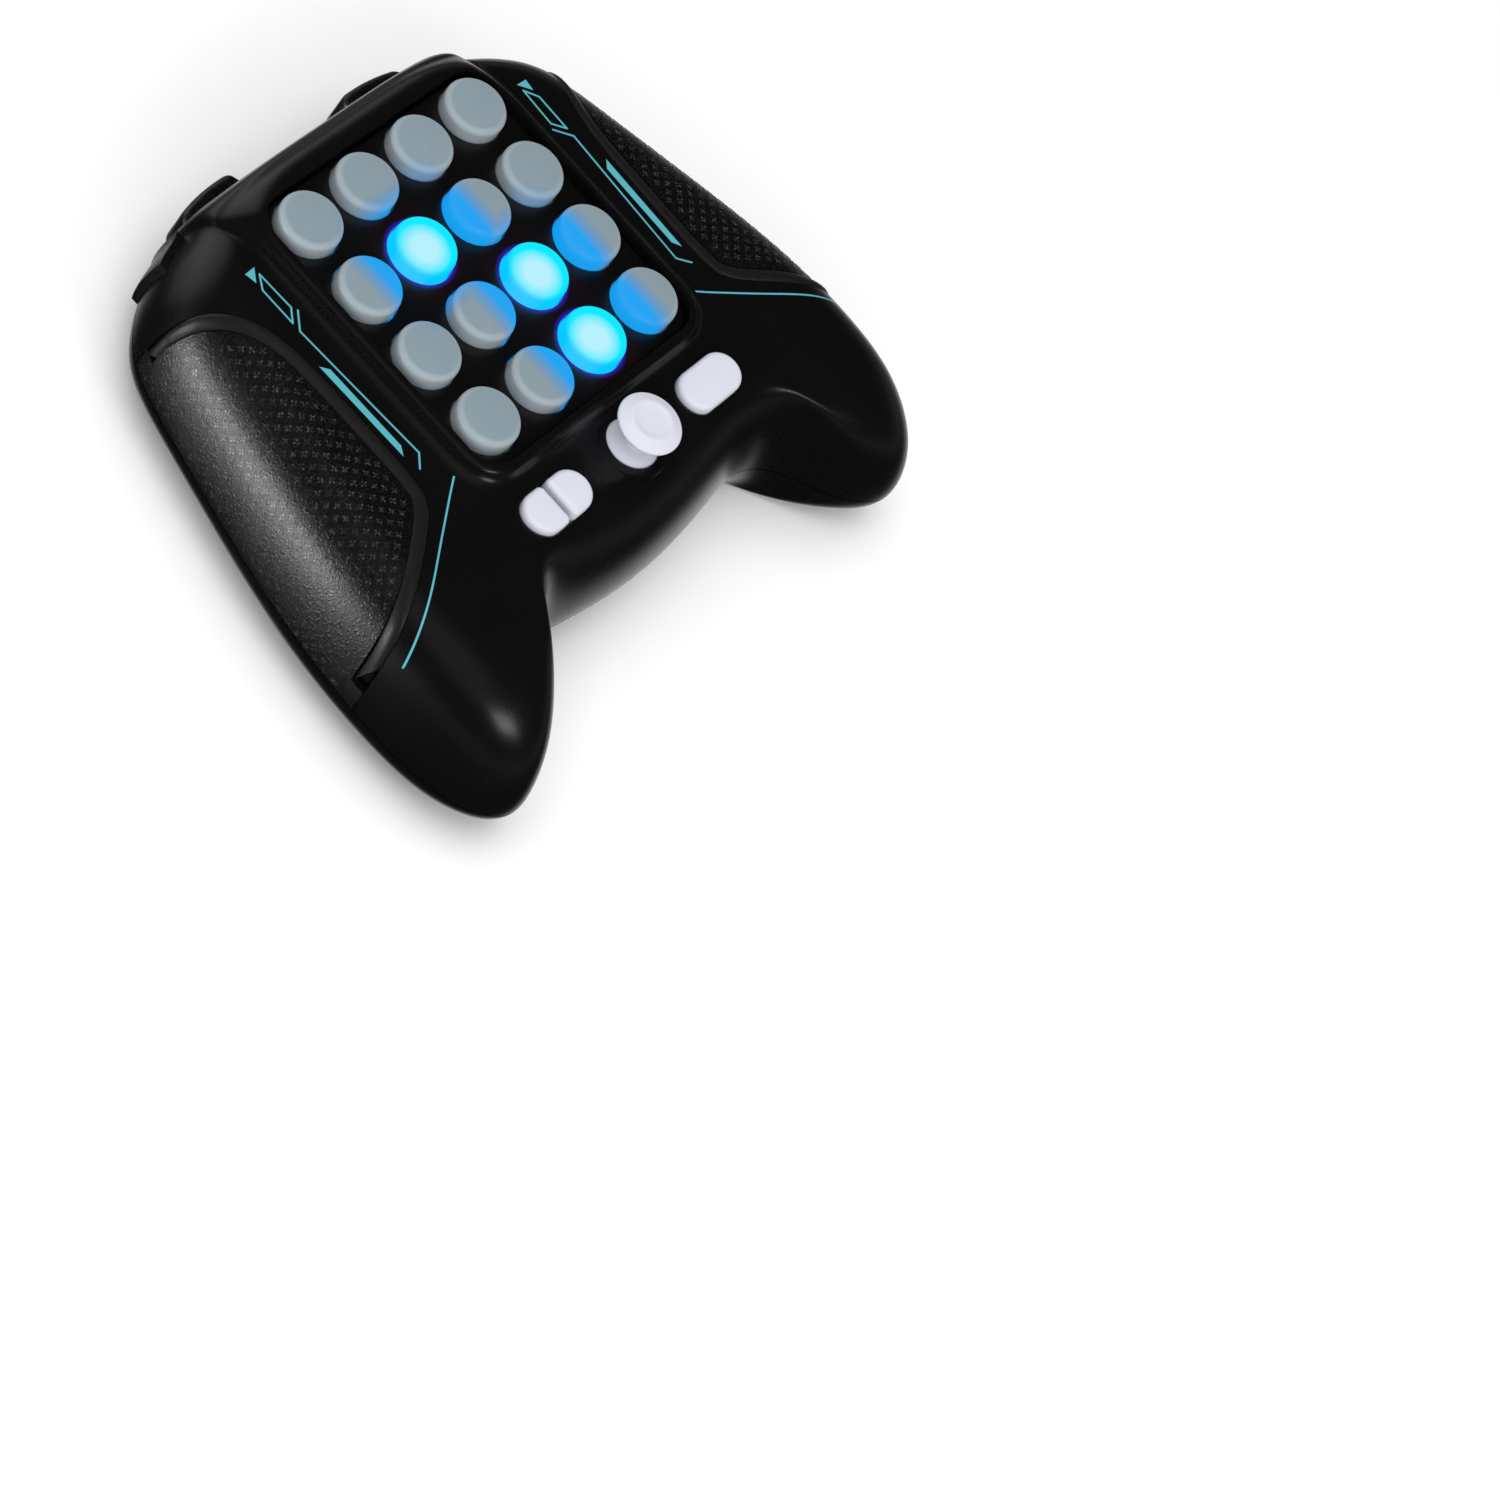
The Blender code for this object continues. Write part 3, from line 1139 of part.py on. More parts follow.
def build():
    cavity = housing_body("cavity", WALL, levels=0)
    floor_body = housing_body("grip_floor", GRIP_FLOOR_SINK)
    shell = upper_shell(cavity, floor_body)
    grip_panels(shell, floor_body)
    lower_shell(cavity)
    button_panel()
    light_buttons()
    keys()
    thumbstick()
    stick_gimbal()
    stick_module()
    shoulder_controls()
    switch_boards()
    main_board()
    keypad_mat()
    batteries()
    battery_door()
    speaker()
    screws()


build()
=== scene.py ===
import json
import math
from contextlib import contextmanager
from functools import reduce

import bmesh
import bpy
from mathutils import Matrix, Vector
from mathutils.bvhtree import BVHTree


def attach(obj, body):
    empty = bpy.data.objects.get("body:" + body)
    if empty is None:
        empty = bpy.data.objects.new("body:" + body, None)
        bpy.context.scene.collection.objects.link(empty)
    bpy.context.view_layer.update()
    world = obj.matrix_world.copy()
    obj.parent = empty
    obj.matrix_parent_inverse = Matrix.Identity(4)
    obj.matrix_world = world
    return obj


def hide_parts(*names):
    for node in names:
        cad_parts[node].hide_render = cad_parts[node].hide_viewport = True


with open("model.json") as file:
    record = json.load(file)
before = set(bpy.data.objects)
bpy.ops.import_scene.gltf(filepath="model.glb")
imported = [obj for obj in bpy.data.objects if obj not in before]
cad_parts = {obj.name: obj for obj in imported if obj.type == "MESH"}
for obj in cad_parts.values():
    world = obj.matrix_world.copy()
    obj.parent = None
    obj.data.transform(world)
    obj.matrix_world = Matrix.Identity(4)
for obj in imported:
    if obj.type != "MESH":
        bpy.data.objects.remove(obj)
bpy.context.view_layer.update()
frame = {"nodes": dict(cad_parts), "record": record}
print("packed frame loaded:", len(frame["nodes"]), "nodes")

mm = 0.001
# places are worked out from the middle of the button grid, which lies this far behind the frame's origin
gridShift = 15.95 * mm
sides = (("left", -1), ("right", 1))


def inMm(**lengths):
    return {name: length * mm for name, length in lengths.items()}


housing = inMm(halfWidth=62.5, backReach=36.2, frontReach=70.4, seam=9, gap=0.3, wall=2.8, baseTrim=0.4,
               panelTop=30, panelThickness=1.6, panelCorner=5, panelShift=-0.5, panelHalfX=27.57,
               panelHalfY=27.77, panelEdge=0.25, ledge=1.3, rimWidth=0.8, rimRise=1.8, riserWidth=1,
               riserFoot=1, wingDrop=0.8, reach=12.3, beyond=2)
housing |= {
    "topRings": (0.2, 0.42, 0.64, 0.82, 0.94), "underRings": (0.55, 0.8, 0.94), "underFlat": 0.8,
    # where a ray leaves the panel, where it meets the outline, and how far in the side's rounding reaches
    "rays": (
        (0, 1, 0, 0.992, 1), (0.38, 1, 0.192, 0.992, 1), (0.68, 1, 0.344, 0.992, 1), (0.93, 1, 0.462, 0.997, 1),
        (1, 0.95, 0.496, 0.934, 1), (1, 0.83, 0.595, 0.89, 0.81), (1, 0.68, 0.699, 0.779, 0.93),
        (1, 0.5, 0.782, 0.63, 1), (1, 0.28, 0.834, 0.387, 1.04), (1, 0.04, 0.88, 0.083, 1.04),
        (1, -0.2, 0.93, -0.139, 1.06), (1, -0.42, 0.971, -0.32, 1.06), (1, -0.6, 0.995, -0.497, 1.07),
        (1, -0.75, 1, -0.675, 1.18), (1, -0.86, 0.982, -0.835, 1.38), (1, -0.94, 0.918, -0.956, 1.79),
        (1, -1, 0.824, -1, 1.95), (0.94, -1, 0.726, -0.956, 1.79), (0.87, -1, 0.659, -0.886, 1.38),
        (0.8, -1, 0.606, -0.807, 1.14), (0.68, -1, 0.536, -0.741, 1.02), (0.53, -1, 0.437, -0.719, 1.02),
        (0.36, -1, 0.296, -0.736, 1.1), (0.18, -1, 0.144, -0.753, 1.14), (0, -1, 0, -0.759, 1.14),
    ),
    # the riser's top and foot where the plateau wraps over the back edge
    "band": (
        (0, 0.865, 0.031, 0, 0.912, 0.154), (0.38, 0.865, 0.031, 0.38, 0.912, 0.154),
        (0.665, 0.854, 0.035, 0.681, 0.898, 0.158), (0.887, 0.807, 0.07, 0.959, 0.856, 0.197),
        (0.962, 0.746, 0.101, 1.021, 0.812, 0.237), (0.962, 0.674, 0.066, 1.017, 0.696, 0.145),
    ),
}
gap, seam, panelTop, backReach = [housing[key] for key in ("gap", "seam", "panelTop", "backReach")]
wingHeight = panelTop - housing["wingDrop"]
rimHeight = panelTop + housing["rimRise"]
plateauReach = gap + housing["rimWidth"] + housing["riserWidth"] + housing["riserFoot"]


def activate(piece):
    bpy.ops.object.select_all(action="DESELECT")
    piece.select_set(True)
    bpy.context.view_layer.objects.active = piece


@contextmanager
def editing(piece):
    # edit mode with the whole mesh selected
    activate(piece)
    bpy.ops.object.mode_set(mode="EDIT")
    bpy.ops.mesh.select_all(action="SELECT")
    yield
    bpy.ops.object.mode_set(mode="OBJECT")


def turnOutward():
    bpy.ops.mesh.select_all(action="SELECT")
    bpy.ops.mesh.normals_make_consistent(inside=False)


def linked(name, data):
    made = bpy.data.objects.new(name, data)
    bpy.context.scene.collection.objects.link(made)
    return made


def meshPiece(name, points, faces=(), edges=()):
    mesh = bpy.data.meshes.new(name)
    mesh.from_pydata([tuple(p) for p in points], edges, faces)
    return linked(name, mesh)


def copied(piece, name):
    return linked(name, piece.data.copy())


def mirrored(piece, name):
    # the same piece for the other side
    twin = copied(piece, name)
    twin.data.transform(Matrix.Scale(-1, 4, (1, 0, 0)))
    twin.data.flip_normals()
    return twin


def moved(piece, x=0.0, y=0.0, z=0.0):
    piece.data.transform(Matrix.Translation((x, y, z)))
    return piece


def turned(piece, degrees, axis):
    piece.data.transform(Matrix.Rotation(math.radians(degrees), 4, axis))
    return piece


def applied(piece, kind, **settings):
    activate(piece)
    modifier = piece.modifiers.new(kind.lower(), kind)
    for key, value in settings.items():
        setattr(modifier, key, value)
    bpy.ops.object.modifier_apply(modifier=modifier.name)
    return piece


def cutWith(piece, tool, operation="DIFFERENCE", keep=False):
    applied(piece, "BOOLEAN", operation=operation, solver="EXACT", object=tool)
    if not keep:
        bpy.data.objects.remove(tool)
    return piece


def softened(piece, width, segments):
    return applied(piece, "BEVEL", width=width, segments=segments, limit_method="ANGLE",
                   angle_limit=math.radians(50))


def joined(name, pieces):
    activate(pieces[0])
    for piece in pieces:
        piece.select_set(True)
    bpy.ops.object.join()
    pieces[0].name = name
    return pieces[0]


def welded(piece, distance=0.004 * mm):
    with editing(piece):
        bpy.ops.mesh.remove_doubles(threshold=distance)
        bpy.ops.mesh.dissolve_degenerate(threshold=distance / 4)
    return piece


def drawnUp(name, outline, low, high, edge=0.0, segments=5):
    # a plan outline drawn up from low to high, with its upper edge rounded
    piece = meshPiece(name, [(x, y, low) for x, y in outline], [list(range(len(outline)))])
    with editing(piece):
        bpy.ops.mesh.select_mode(type="FACE")
        bpy.ops.mesh.extrude_region_move(TRANSFORM_OT_translate={"value": (0, 0, high - low)})
        if edge:
            bpy.ops.mesh.bevel(offset=edge, segments=segments, profile=0.5, affect="EDGES")
        turnOutward()
    return piece


def turnedPiece(name, profile, steps=96):
    # a profile of radius and height pairs, turned about the upright axis
    piece = meshPiece(name, [(r, 0, z) for r, z in profile], edges=[(k, k + 1) for k in range(len(profile) - 1)])
    applied(piece, "SCREW", angle=math.tau, steps=steps, render_steps=steps, axis="Z", use_merge_vertices=True,
            merge_threshold=0.01 * mm, use_normal_calculate=True)
    with editing(piece):
        bpy.ops.mesh.remove_doubles(threshold=0.005 * mm)
        turnOutward()
    return piece


def settled():
    # the primitive just added, with its place and size made part of its mesh
    bpy.ops.object.transform_apply(location=True, rotation=True, scale=True)
    return bpy.context.object


def roundTool(radius, low, high, x, y, steps=48):
    bpy.ops.mesh.primitive_cylinder_add(vertices=steps, radius=radius, depth=high - low,
                                        location=(x, y, (low + high) / 2))
    return settled()


def blockTool(low, high):
    bpy.ops.mesh.primitive_cube_add(size=1, location=[(a + b) / 2 for a, b in zip(low, high)])
    bpy.context.object.scale = [b - a for a, b in zip(low, high)]
    return settled()


def keptPiece(piece, material, nodes=(), body="housing", angle=35):
    # puts a finished piece in its place on its body, with its finish
    moved(piece, y=gridShift)
    activate(piece)
    bpy.ops.object.shade_smooth_by_angle(angle=math.radians(angle))
    piece.data.materials.clear()
    piece.data.materials.append(material)
    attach(piece, body)
    if nodes:
        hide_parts(*nodes)


# outlines in plan
def loopSides(loop):
    return list(zip(loop, loop[1:] + loop[:1]))


def turnOf(loop):
    # 1 for a loop that goes anticlockwise, -1 for one that goes clockwise
    return 1 if sum(a[0] * b[1] - b[0] * a[1] for a, b in loopSides(loop)) > 0 else -1


def mirroredLoop(half):
    return [Vector(p) for p in half] + [Vector((-p[0], *p[1:])) for p in reversed(half[1:-1])]


def movedIn(loop, distance):
    # a closed loop moved inwards by an even distance, whichever way round it goes
    turn = turnOf(loop)
    points = []
    for k, point in enumerate(loop):
        along = loop[(k + 1) % len(loop)] - loop[k - 1]
        points.append(point + Vector((-along.y, along.x)).normalized() * distance * turn)
    return points


def spaced(points, least):
    # leaves out each point that is nearly on the one before
    clean = []
    for point in points:
        if not clean or math.dist(point, clean[-1]) > least:
            clean.append(point)
    return clean


def arcPoints(centre, radius, start, end, steps):
    angles = [math.radians(start + (end - start) * step / steps) for step in range(steps + 1)]
    return [(centre[0] + radius * math.cos(angle), centre[1] + radius * math.sin(angle)) for angle in angles]


def roundedOutline(halfX, halfY, corner, steps=10, centreY=0.0):
    outline = []
    for turn, (signX, signY) in enumerate(((1, 1), (-1, 1), (-1, -1), (1, -1))):
        outline += arcPoints((signX * (halfX - corner), centreY + signY * (halfY - corner)), corner,
                             turn * 90, turn * 90 + 90, steps)
    return outline


def planPoint(x, y):
    return Vector((x * housing["halfWidth"], y * (backReach if y > 0 else housing["frontReach"])))


# the housing's skin
def roundedPoint(shareX, shareY, halfX, halfY, corner):
    point = Vector((shareX * halfX, shareY * halfY))
    inner = Vector([max(corner - half, min(half - corner, place)) for half, place in zip((halfX, halfY), point)])
    out = point - inner
    return inner + out.normalized() * corner if out.length > 0 else point


def panelLoop(out, height, share=1.0):
    half = []
    for x, y, *_ in housing["rays"]:
        point = roundedPoint(x, y, housing["panelHalfX"] * share + out, housing["panelHalfY"] * share + out,
                             housing["panelCorner"] + out)
        half.append(Vector((point.x, point.y + housing["panelShift"], height)))
    return mirroredLoop(half)


def plateauLoops():
    tops = panelLoop(plateauReach - housing["riserFoot"], rimHeight - housing["rimRise"] / 4)
    feet = panelLoop(plateauReach, wingHeight)
    for k, shares in enumerate(housing["band"]):
        for loop, (x, y, z) in ((tops, shares[:3]), (feet, shares[3:])):
            place = Vector((x * (housing["panelHalfX"] + plateauReach), y * backReach,
                            rimHeight - z * (rimHeight - seam)))
            loop[k] = place
            if k:
                loop[-k] = Vector((-place.x, place.y, place.z))
    return tops, feet


def sideRings(inner, outline, shares):
    # flat at first, and then a quarter ellipse down or up to the seam
    reaches = [ray[4] * housing["reach"] for ray in housing["rays"]]
    reaches += reaches[-2:0:-1]
    rings = []
    for share in shares:
        ring = []
        for start, end, reach in zip(inner, outline, reaches):
            flat = start.to_2d()
            place = flat.lerp(end, share)
            distance = (end - flat).length
            reach = min(reach, distance)
            turn = max(0, reach - distance * (1 - share)) / reach
            ring.append(Vector((*place, seam + (start.z - seam) * math.sqrt(1 - turn * turn))))
        rings.append(ring)
    return rings


def housingRings(inset, plateau):
    tops, feet = plateauLoops()
    feet = [Vector((p.x, p.y, p.z - inset)) for p in feet]
    outline = movedIn(mirroredLoop([planPoint(ray[2], ray[3]) for ray in housing["rays"]]), inset)
    edge = [Vector((p.x, p.y, seam)) for p in outline]
    flat = panelLoop(-inset, inset - housing["baseTrim"], housing["underFlat"])
    start = [panelLoop(-housing["ledge"], rimHeight), panelLoop(gap + housing["rimWidth"], rimHeight), tops]
    return ((start if plateau else []) + [feet] + sideRings(feet, outline, housing["topRings"]) + [edge]
            + sideRings(flat, outline, housing["underRings"])[::-1] + [flat])


def swollen(rings, first):
    # makes up for what the smoothing will take off
    grown = [[p.copy() for p in ring] for ring in rings]
    for i, ring in enumerate(rings):
        for k, point in enumerate(ring):
            grown[i][k] += (2 * point - (ring[k - 1] + ring[(k + 1) % len(ring)])) / 6
            if first <= i < len(rings) - 1:
                grown[i][k] += (2 * point - (rings[i - 1][k] + rings[i + 1][k])) / 6
    return grown


def ringFaces(rows, count):
    # the faces between closed rings of points, and one over each end
    faces = []
    for i in range(rows - 1):
        for k in range(count):
            after = (k + 1) % count
            faces.append((i * count + k, i * count + after, (i + 1) * count + after, (i + 1) * count + k))
    return faces + [tuple(reversed(range(count))), tuple((rows - 1) * count + k for k in range(count))]


def housingSkin(name, inset, plateau=False, levels=3):
    # a closed skin over the rings, smoothed
    rings = housingRings(inset, plateau)
    if levels:
        rings = swollen(rings, 4 if plateau else 1)
    count = len(rings[0])
    piece = meshPiece(name, [p for ring in rings for p in ring], ringFaces(len(rings), count))
    bm = bmesh.new()
    bm.from_mesh(piece.data)
    if plateau:
        crease = bm.edges.layers.float.new("crease_edge")
        bm.verts.ensure_lookup_table()
        for k in range(count):
            bm.edges.get((bm.verts[k], bm.verts[(k + 1) % count]))[crease] = 1
    if bm.calc_volume(signed=True) < 0:
        bmesh.ops.reverse_faces(bm, faces=bm.faces[:])
    bm.to_mesh(piece.data)
    bm.free()
    if levels:
        applied(piece, "SUBSURF", levels=levels, render_levels=levels, use_limit_surface=True)
    return piece


# finishes
class Signal:
    # a shader socket that adds, multiplies and so on like a number
    def __init__(self, nodes, socket):
        self.nodes = nodes
        self.socket = socket

    def __add__(self, other):
        return self.nodes.maths("ADD", self, other)

    def __sub__(self, other):
        return self.nodes.maths("SUBTRACT", self, other)

    def __rsub__(self, other):
        return self.nodes.maths("SUBTRACT", other, self)

    def __mul__(self, other):
        return self.nodes.maths("MULTIPLY", self, other)

    def __truediv__(self, other):
        return self.nodes.maths("DIVIDE", self, other)

    def __pow__(self, other):
        return self.nodes.maths("POWER", self, other)

    def __abs__(self):
        return self.nodes.maths("ABSOLUTE", self)

    __radd__ = __add__
    __rmul__ = __mul__


class Nodes:
    # the nodes of one material or world
    def __init__(self, owner):
        owner.use_nodes = True
        self.tree = owner.node_tree
        self.tree.nodes.clear()

    def node(self, kind, inputs=None, output=0, **settings):
        made = self.tree.nodes.new("ShaderNode" + kind)
        for key, value in settings.items():
            setattr(made, key, value)
        for key, value in (inputs or {}).items():
            if isinstance(value, Signal):
                self.tree.links.new(value.socket, made.inputs[key])
            else:
                made.inputs[key].default_value = value
        return Signal(self, made.outputs[output]) if made.outputs else None

    def maths(self, operation, *values):
        return self.node("Math", dict(enumerate(values)), operation=operation)

    def least(self, a, b):
        return self.maths("MINIMUM", a, b)

    def most(self, a, b):
        return self.maths("MAXIMUM", a, b)

    def ramp(self, value, low, high, start=0.0, end=1.0, kind="LINEAR"):
        # from start to end while the value goes from low to high
        return self.node("MapRange", dict(enumerate((value, low, high, start, end))), clamp=True,
                         interpolation_type=kind)

    def coordinates(self, kind="Object"):
        return self.node("TexCoord", output=kind)

    def axes(self, kind="Object"):
        first = self.node("SeparateXYZ", {0: self.coordinates(kind)})
        return [Signal(self, socket) for socket in first.socket.node.outputs]

    def noise(self, scale, detail=2.0):
        return self.node("TexNoise", {"Vector": self.coordinates(), "Scale": scale, "Detail": detail})

    def blend(self, factor, *colours):
        first, second = [each if isinstance(each, Signal) else (*each, 1) for each in colours]
        return self.node("Mix", {0: factor, 6: first, 7: second}, 2, data_type="RGBA")

    def bump(self, height, strength, distance=0.04 * mm):
        return self.node("Bump", {"Height": height, "Strength": strength, "Distance": distance})


class Finish(Nodes):
    # one material
    def __init__(self, name, **sockets):
        self.material = bpy.data.materials.new(name)
        super().__init__(self.material)
        surface = self.node("BsdfPrincipled", sockets)
        self.shader = surface.socket.node
        self.node("OutputMaterial", {"Surface": surface})

    def feed(self, **sockets):
        for key, value in sockets.items():
            self.tree.links.new(value.socket, self.shader.inputs[key.replace("_", " ")])
        if "Emission_Color" in sockets:
            self.shader.inputs["Emission Strength"].default_value = 1
        return self.material


trims = {
    "colour": (0.08, 0.4, 0.46), "line": 0.33 * mm, "soft": 0.03 * mm,
    # in millimetres from the middle of the button grid, on the right; the left is its mirror image
    "lines": (
        ((33.8, 19.3), (33.5, 12.1), (35.4, 9.9), (35.5, 16.9), (33.8, 19.3)),
        ((32.9, 11.1), (35.4, 8.2), (34.0, -18.4), (36.0, -20.5)),
        ((32.2, -24.8), (59.5, -42.6)),
    ),
    "shapes": (
        ((35.9, 20.6), (33.6, 20.7), (35.5, 18.4)),
        ((37.3, 1.9), (36.0, 0.5), (35.7, -15.8), (36.8, -17.4)),
    ),
}


def segmentMask(finish, x, y, ends):
    (ax, ay), (bx, by) = [(a * mm, b * mm) for a, b in ends]
    lengthSquared = (bx - ax) ** 2 + (by - ay) ** 2
    share = finish.node("Clamp", {0: ((x - ax) * (bx - ax) + (y - ay) * (by - ay)) / lengthSquared})
    away = ((x - ax - share * (bx - ax)) ** 2 + (y - ay - share * (by - ay)) ** 2) ** 0.5
    half, soft = trims["line"] / 2, trims["soft"]
    return finish.ramp(away, half - soft, half + soft, 1, 0)


def shapeMask(finish, x, y, corners):
    # inside every side of a shape whose corners go clockwise or anticlockwise
    corners = [(a * mm, b * mm) for a, b in corners]
    turn = turnOf(corners)
    parts = []
    for (ax, ay), (bx, by) in loopSides(corners):
        length = math.dist((ax, ay), (bx, by))
        inside = ((y - ay) * (turn * (bx - ax) / length)) - ((x - ax) * (turn * (by - ay) / length))
        parts.append(finish.ramp(inside, -trims["soft"], trims["soft"]))
    return reduce(finish.least, parts)


def trimMask(finish):
    x, y, _ = finish.axes()
    x, y = abs(x), y - gridShift
    parts = [segmentMask(finish, x, y, ends) for line in trims["lines"] for ends in zip(line, line[1:])]
    parts += [shapeMask(finish, x, y, corners) for corners in trims["shapes"]]
    return reduce(finish.most, parts)


def satinPlastic(name, printed=False):
    finish = Finish(name, IOR=1.5)
    grain = finish.noise(2600, 3)
    cloud = finish.noise(45, 3)
    base = finish.blend(cloud, (0.0026, 0.0025, 0.0026), (0.004, 0.0037, 0.0036))
    rough = finish.ramp(cloud, 0.3, 0.7, 0.22, 0.27) + grain * 0.05
    if printed:
        mask = trimMask(finish)
        base = finish.blend(mask, base, trims["colour"])
        rough = rough + mask * 0.12
    return finish.feed(Base_Color=base, Roughness=rough, Normal=finish.bump(grain, 0.1))


def texturedGrip(name, dark, light, rough, relief, ior=1.48):
    # a fine pebbled grain, with scattered raised, smoother specks whose lighter colour is painted glint
    finish = Finish(name, IOR=ior)
    grain = finish.noise(3600, 2)
    cloud = finish.noise(60, 3)
    glintSpeck = finish.ramp(finish.noise(2300, 1), 0.5, 0.66)
    return finish.feed(Base_Color=finish.blend(glintSpeck, dark, light),
                       Roughness=finish.ramp(cloud, 0.3, 0.7, rough, rough + 0.05) + grain * 0.1 - glintSpeck * 0.1,
                       Normal=finish.bump(glintSpeck + grain * 0.6, relief, 0.16 * mm))


lamps = {
    "lit": ((1, 1), (2, 2), (3, 2)), "pitch": 14 * mm, "lean": (-1.2 * mm, -0.3 * mm),
    "core": (0.46, 0.84, 1.0), "glow": (0.0, 0.8, 0.96), "rim": (0.0, 0.36, 1.0), "spill": (0.0, 0.34, 0.86),
    "farSpill": (0.02, 0.22, 0.55), "hot": (2.2 * mm, 4.7 * mm), "edge": (4.9 * mm, 6.2 * mm),
    # where a neighbour catches light, from its middle towards the lamp, and how much
    "row": (-1.2 * mm, 2.6 * mm, 0, 0.95), "column": (2.2 * mm, 6.0 * mm, 0, 0.85),
    "corner": (3.2 * mm, 6.6 * mm, 0, 0.4),
}
buttons = inMm(radius=5.57, flange=0.7, flangeLow=-3.2, flangeTop=-2.2, rise=3, edge=1.2, frostedRim=1.1,
               crown=0.2, halfCrown=0.12)
buttonRadius = buttons["radius"]


def gridPlace(row, column):
    return (column - 1.5) * lamps["pitch"], (1.5 - row) * lamps["pitch"]


gridPlaces = [(row, column, *gridPlace(row, column)) for row in range(4) for column in range(4)]


def litFinish(finish, ownX, ownY, rough):
    # the lamp sits deep below, so its bright middle shows a little off the button's own
    leanX, leanY = lamps["lean"]
    hot = finish.ramp(((ownX - leanX) ** 2 + (ownY - leanY) ** 2) ** 0.5, *lamps["hot"], 1, 0)
    edge = finish.ramp((ownX * ownX + ownY * ownY) ** 0.5, *lamps["edge"])
    light = finish.blend(edge, finish.blend(hot, lamps["glow"], lamps["core"]), lamps["rim"])
    base = finish.blend(hot, (0.0, 0.02, 0.03), (0.01, 0.03, 0.03))
    return finish.feed(Base_Color=base, Emission_Color=light, Roughness=rough)


def frosted(name, row, column):
    # frosted plastic: one with a lit lamp glows, and its neighbours catch light on the near side,
    # most along a row, less across to the next row or corner
    finish = Finish(name, IOR=1.47)
    x, y, _ = finish.axes()
    centreX, centreY = gridPlace(row, column)
    ownX = x - centreX
    ownY = y - (centreY + gridShift)
    rough = 0.42 + finish.noise(2200, 2) * 0.1
    if (row, column) in lamps["lit"]:
        return litFinish(finish, ownX, ownY, rough)
    base = finish.blend(finish.noise(240, 3), (0.2, 0.262, 0.3), (0.226, 0.288, 0.325))
    # painted highlight: each unlit button's colour lightens towards its edge, for the light its sides catch
    rim = finish.ramp((ownX * ownX + ownY * ownY) ** 0.5, buttonRadius - buttons["frostedRim"],
                      buttonRadius)
    base = finish.blend(rim * 0.6, base, (0.46, 0.52, 0.54))
    parts = []
    for lit in lamps["lit"]:
        rows, columns = abs(lit[0] - row), abs(lit[1] - column)
        if max(rows, columns) == 1:
            toward = (Vector(gridPlace(*lit)) - Vector((centreX, centreY))).normalized()
            kind = "row" if rows == 0 else "column" if columns == 0 else "corner"
            parts.append(finish.ramp(ownX * toward.x + ownY * toward.y, *lamps[kind]))
    if not parts:
        return finish.feed(Base_Color=base, Roughness=rough)
    glow = reduce(finish.most, parts)
    light = finish.blend(glow, (0, 0, 0), finish.blend(glow, lamps["farSpill"], lamps["spill"]))
    return finish.feed(Base_Color=finish.blend(glow, base, (0.0, 0.03, 0.06)), Emission_Color=light,
                       Roughness=rough)


def panelPlastic():
    finish = Finish("blackPanel", IOR=1.5)
    x, y, _ = finish.axes()
    grain = finish.noise(2400, 3)
    # painted light from the lit lamps: a violet glow just round each lit button, and a faint pool of spill further
    # out, in the base colour and as emission
    gapGlows, lampSpills = [], []
    for lit in lamps["lit"]:
        centreX, centreY = gridPlace(*lit)
        out = ((x - centreX) ** 2 + (y - (centreY + gridShift)) ** 2) ** 0.5
        gapGlows.append(finish.ramp(out, buttonRadius + 0.2 * mm, buttonRadius + 1.1 * mm, 1, 0))
        lampSpills.append(finish.ramp(out, buttonRadius, buttonRadius + 5.0 * mm, 1, 0))
    gapGlow, lampSpill = reduce(finish.most, gapGlows), reduce(finish.most, lampSpills)
    base = finish.blend(lampSpill, (0.003, 0.0029, 0.0031), (0.0044, 0.0028, 0.0036))
    light = finish.blend(gapGlow, finish.blend(lampSpill, (0, 0, 0), (0.005, 0.0005, 0.0018)), (0.03, 0.012, 0.46))
    return finish.feed(Base_Color=base, Emission_Color=light, Roughness=0.28 + grain * 0.06,
                       Normal=finish.bump(grain, 0.08))


def plainFinish(name, dark, light, rough, metallic=0.0, cloudScale=80):
    finish = Finish(name, IOR=1.5, Metallic=metallic)
    grain = finish.noise(2400, 3)
    return finish.feed(Base_Color=finish.blend(finish.noise(cloudScale, 3), dark, light),
                       Roughness=rough + grain * 0.08, Normal=finish.bump(grain, 0.08))


upperFinish = satinPlastic("blackSatinPrinted", printed=True)
lowerFinish = satinPlastic("blackSatin")
gripFinish = texturedGrip("texturedGripSkin", (0.0022, 0.0021, 0.0022), (0.0085, 0.008, 0.008), 0.29, 0.2, 1.66)
# the raised crosses are given a lighter colour as painted glint, so they read light wherever they face
crossGlintFinish = texturedGrip("raisedCrosses", (0.013, 0.0125, 0.0125), (0.062, 0.06, 0.06), 0.23, 0.06, 1.62)
